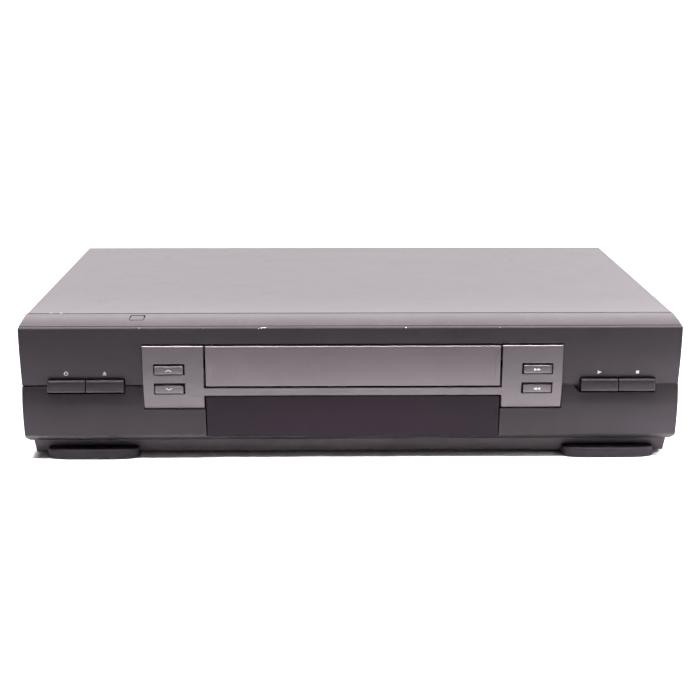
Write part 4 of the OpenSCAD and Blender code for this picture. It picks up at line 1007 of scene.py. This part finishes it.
ROUND = {"top_cover": 0.18, "main_frame": 0.4, "rear_panel": 0.12, "bottom_plate": 0.12, "power_inlet": 0.4,
         "rear_feet": 0.5, "case_screws": 0.15, "tuner_can": 0.5, "av_jack_block": 0.4, "power_transformer": 0.3,
         "display_tube": 0.15, "rf_connectors": 0.15, "main_capacitor": 0.6, "loading_motor": 0.4}
for name, o in NODES.items():
    if o.hide_render:
        continue
    me = o.data
    if me.attributes.get("custom_normal"):
        me.attributes.remove(me.attributes["custom_normal"])
    for p in me.polygons:
        p.use_smooth = True
    w = o.modifiers.new("weld", "WELD")
    w.merge_threshold = 0.000002
    edges(o, ROUND.get(name, 0.1), 2, 38)
    me.materials.clear()
    me.materials.append(M[LOOK[name]])

# --------------------------------------------------------------- stage, light
def build_floor():
    n = Nodes("stage_floor")
    col = n.mix(n.ramp(n.noise(3, 3.0, 0.5), 0.3, 0.7), (0.88, 0.9, 0.9), (0.905, 0.925, 0.925))
    n.set(color=col, rough=0.7, normal=n.bump(n.noise(500, 2.0, 0.5), 0.05, 0.0002), spec=0.3)
    me = bpy.data.meshes.new("floor")
    s = 30.0
    me.from_pydata([(-s, -s, 0), (s, -s, 0), (s, 2.4, 0), (-s, 2.4, 0)], [], [(0, 1, 2, 3)])
    o = bpy.data.objects.new("floor", me)
    COLL.objects.link(o)
    me.materials.append(n.mat)


build_floor()

# The studio around the floor: (strength, ((axis, from, to, value at from, value at to), ...))
GLOW = (
    (1.33, ((1, 0.1, 0.5, 0, 1), (2, 0.2, 0.5, 1, 0))),
    (0.1, ((1, 0.0, 0.4, 0, 1), (2, 0.2, 0.5, 0, 1))),
    (0.5, ((0, 0.0, 0.6, 0, 1),)),
)
WARM = (1.0, 0.93, 0.98)


def build_world():
    world = bpy.data.worlds.new("studio")
    bpy.context.scene.world = world
    world.use_nodes = True
    t = world.node_tree
    t.nodes.clear()
    out, bg = t.nodes.new("ShaderNodeOutputWorld"), t.nodes.new("ShaderNodeBackground")
    sep = t.nodes.new("ShaderNodeSeparateXYZ")
    t.links.new(t.nodes.new("ShaderNodeTexCoord").outputs["Generated"], sep.inputs[0])

    def math(op, a, b):
        n = t.nodes.new("ShaderNodeMath")
        n.operation = op
        for s, v in zip(n.inputs, (a, b)):
            if hasattr(v, "is_output"):
                t.links.new(v, s)
            else:
                s.default_value = v
        return n.outputs[0]

    total = None
    for strength, parts in GLOW:
        term = strength
        for axis, *span in parts:
            r = t.nodes.new("ShaderNodeMapRange")
            r.interpolation_type = "SMOOTHSTEP"
            for s, v in zip(("From Min", "From Max", "To Min", "To Max"), span):
                r.inputs[s].default_value = v
            t.links.new(sep.outputs[axis], r.inputs["Value"])
            term = math("MULTIPLY", r.outputs[0], term)
        total = term if total is None else math("ADD", total, term)
    t.links.new(total, bg.inputs["Strength"])
    bg.inputs["Color"].default_value = (*WARM, 1.0)
    t.links.new(bg.outputs[0], out.inputs[0])


build_world()


def softbox(name, loc, target, size, power, spread=180, color=WARM):
    d = bpy.data.lights.new(name, "AREA")
    d.shape, d.size, d.size_y, d.energy, d.color = "RECTANGLE", size[0], size[1], power, color
    d.spread = math.radians(spread)
    o = bpy.data.objects.new(name, d)
    COLL.objects.link(o)
    o.location = loc
    o.rotation_mode = "QUATERNION"
    down = Vector(target) - Vector(loc)
    o.rotation_quaternion = down.to_track_quat("-Z", "Y") if abs(down.normalized().z) < 0.9999 else Matrix().to_quaternion()
    return o


softbox("over", (0, 0.12, 1.8), (0, 0.12, 0.0), (1.6, 0.8), 56.0)
softbox("strip", (0, -0.172, 0.3), (0, -0.172, 0.0), (0.9, 0.03), 1.3, 60)
softbox("side", (0.42, -0.19, 0.3), (0.32, -0.17, 0.0), (0.3, 0.05), 0.6, 70)
softbox("rear", (0, 1.6, 1.2), (0, 1.5, 0.0), (2.5, 0.8), 66.0, 150)

# --------------------------------------------------------------------- camera
cam_data = bpy.data.cameras.new("camera")
cam_data.sensor_width = 36.0
cam_data.lens = 36.0 * 1381.3 / 700.0
cam_data.clip_start, cam_data.clip_end = 0.05, 100
cam = bpy.data.objects.new("camera", cam_data)
COLL.objects.link(cam)
r = Vector((0.99981861, -0.018956, 0.001851)).normalized()
f = Vector((0.01883701, 0.96979613, -0.24318849)).normalized()
u = r.cross(f)
cam.matrix_world = Matrix(((r.x, u.x, -f.x, -0.018037), (r.y, u.y, -f.y, -1.015801), (r.z, u.z, -f.z, 0.293246), (0, 0, 0, 1)))
bpy.context.scene.camera = cam
view = bpy.context.scene.view_settings
view.view_transform = "Standard"
view.look = "None"
view.exposure = 0.0
view.gamma = 1.0

bpy.context.view_layer.update()
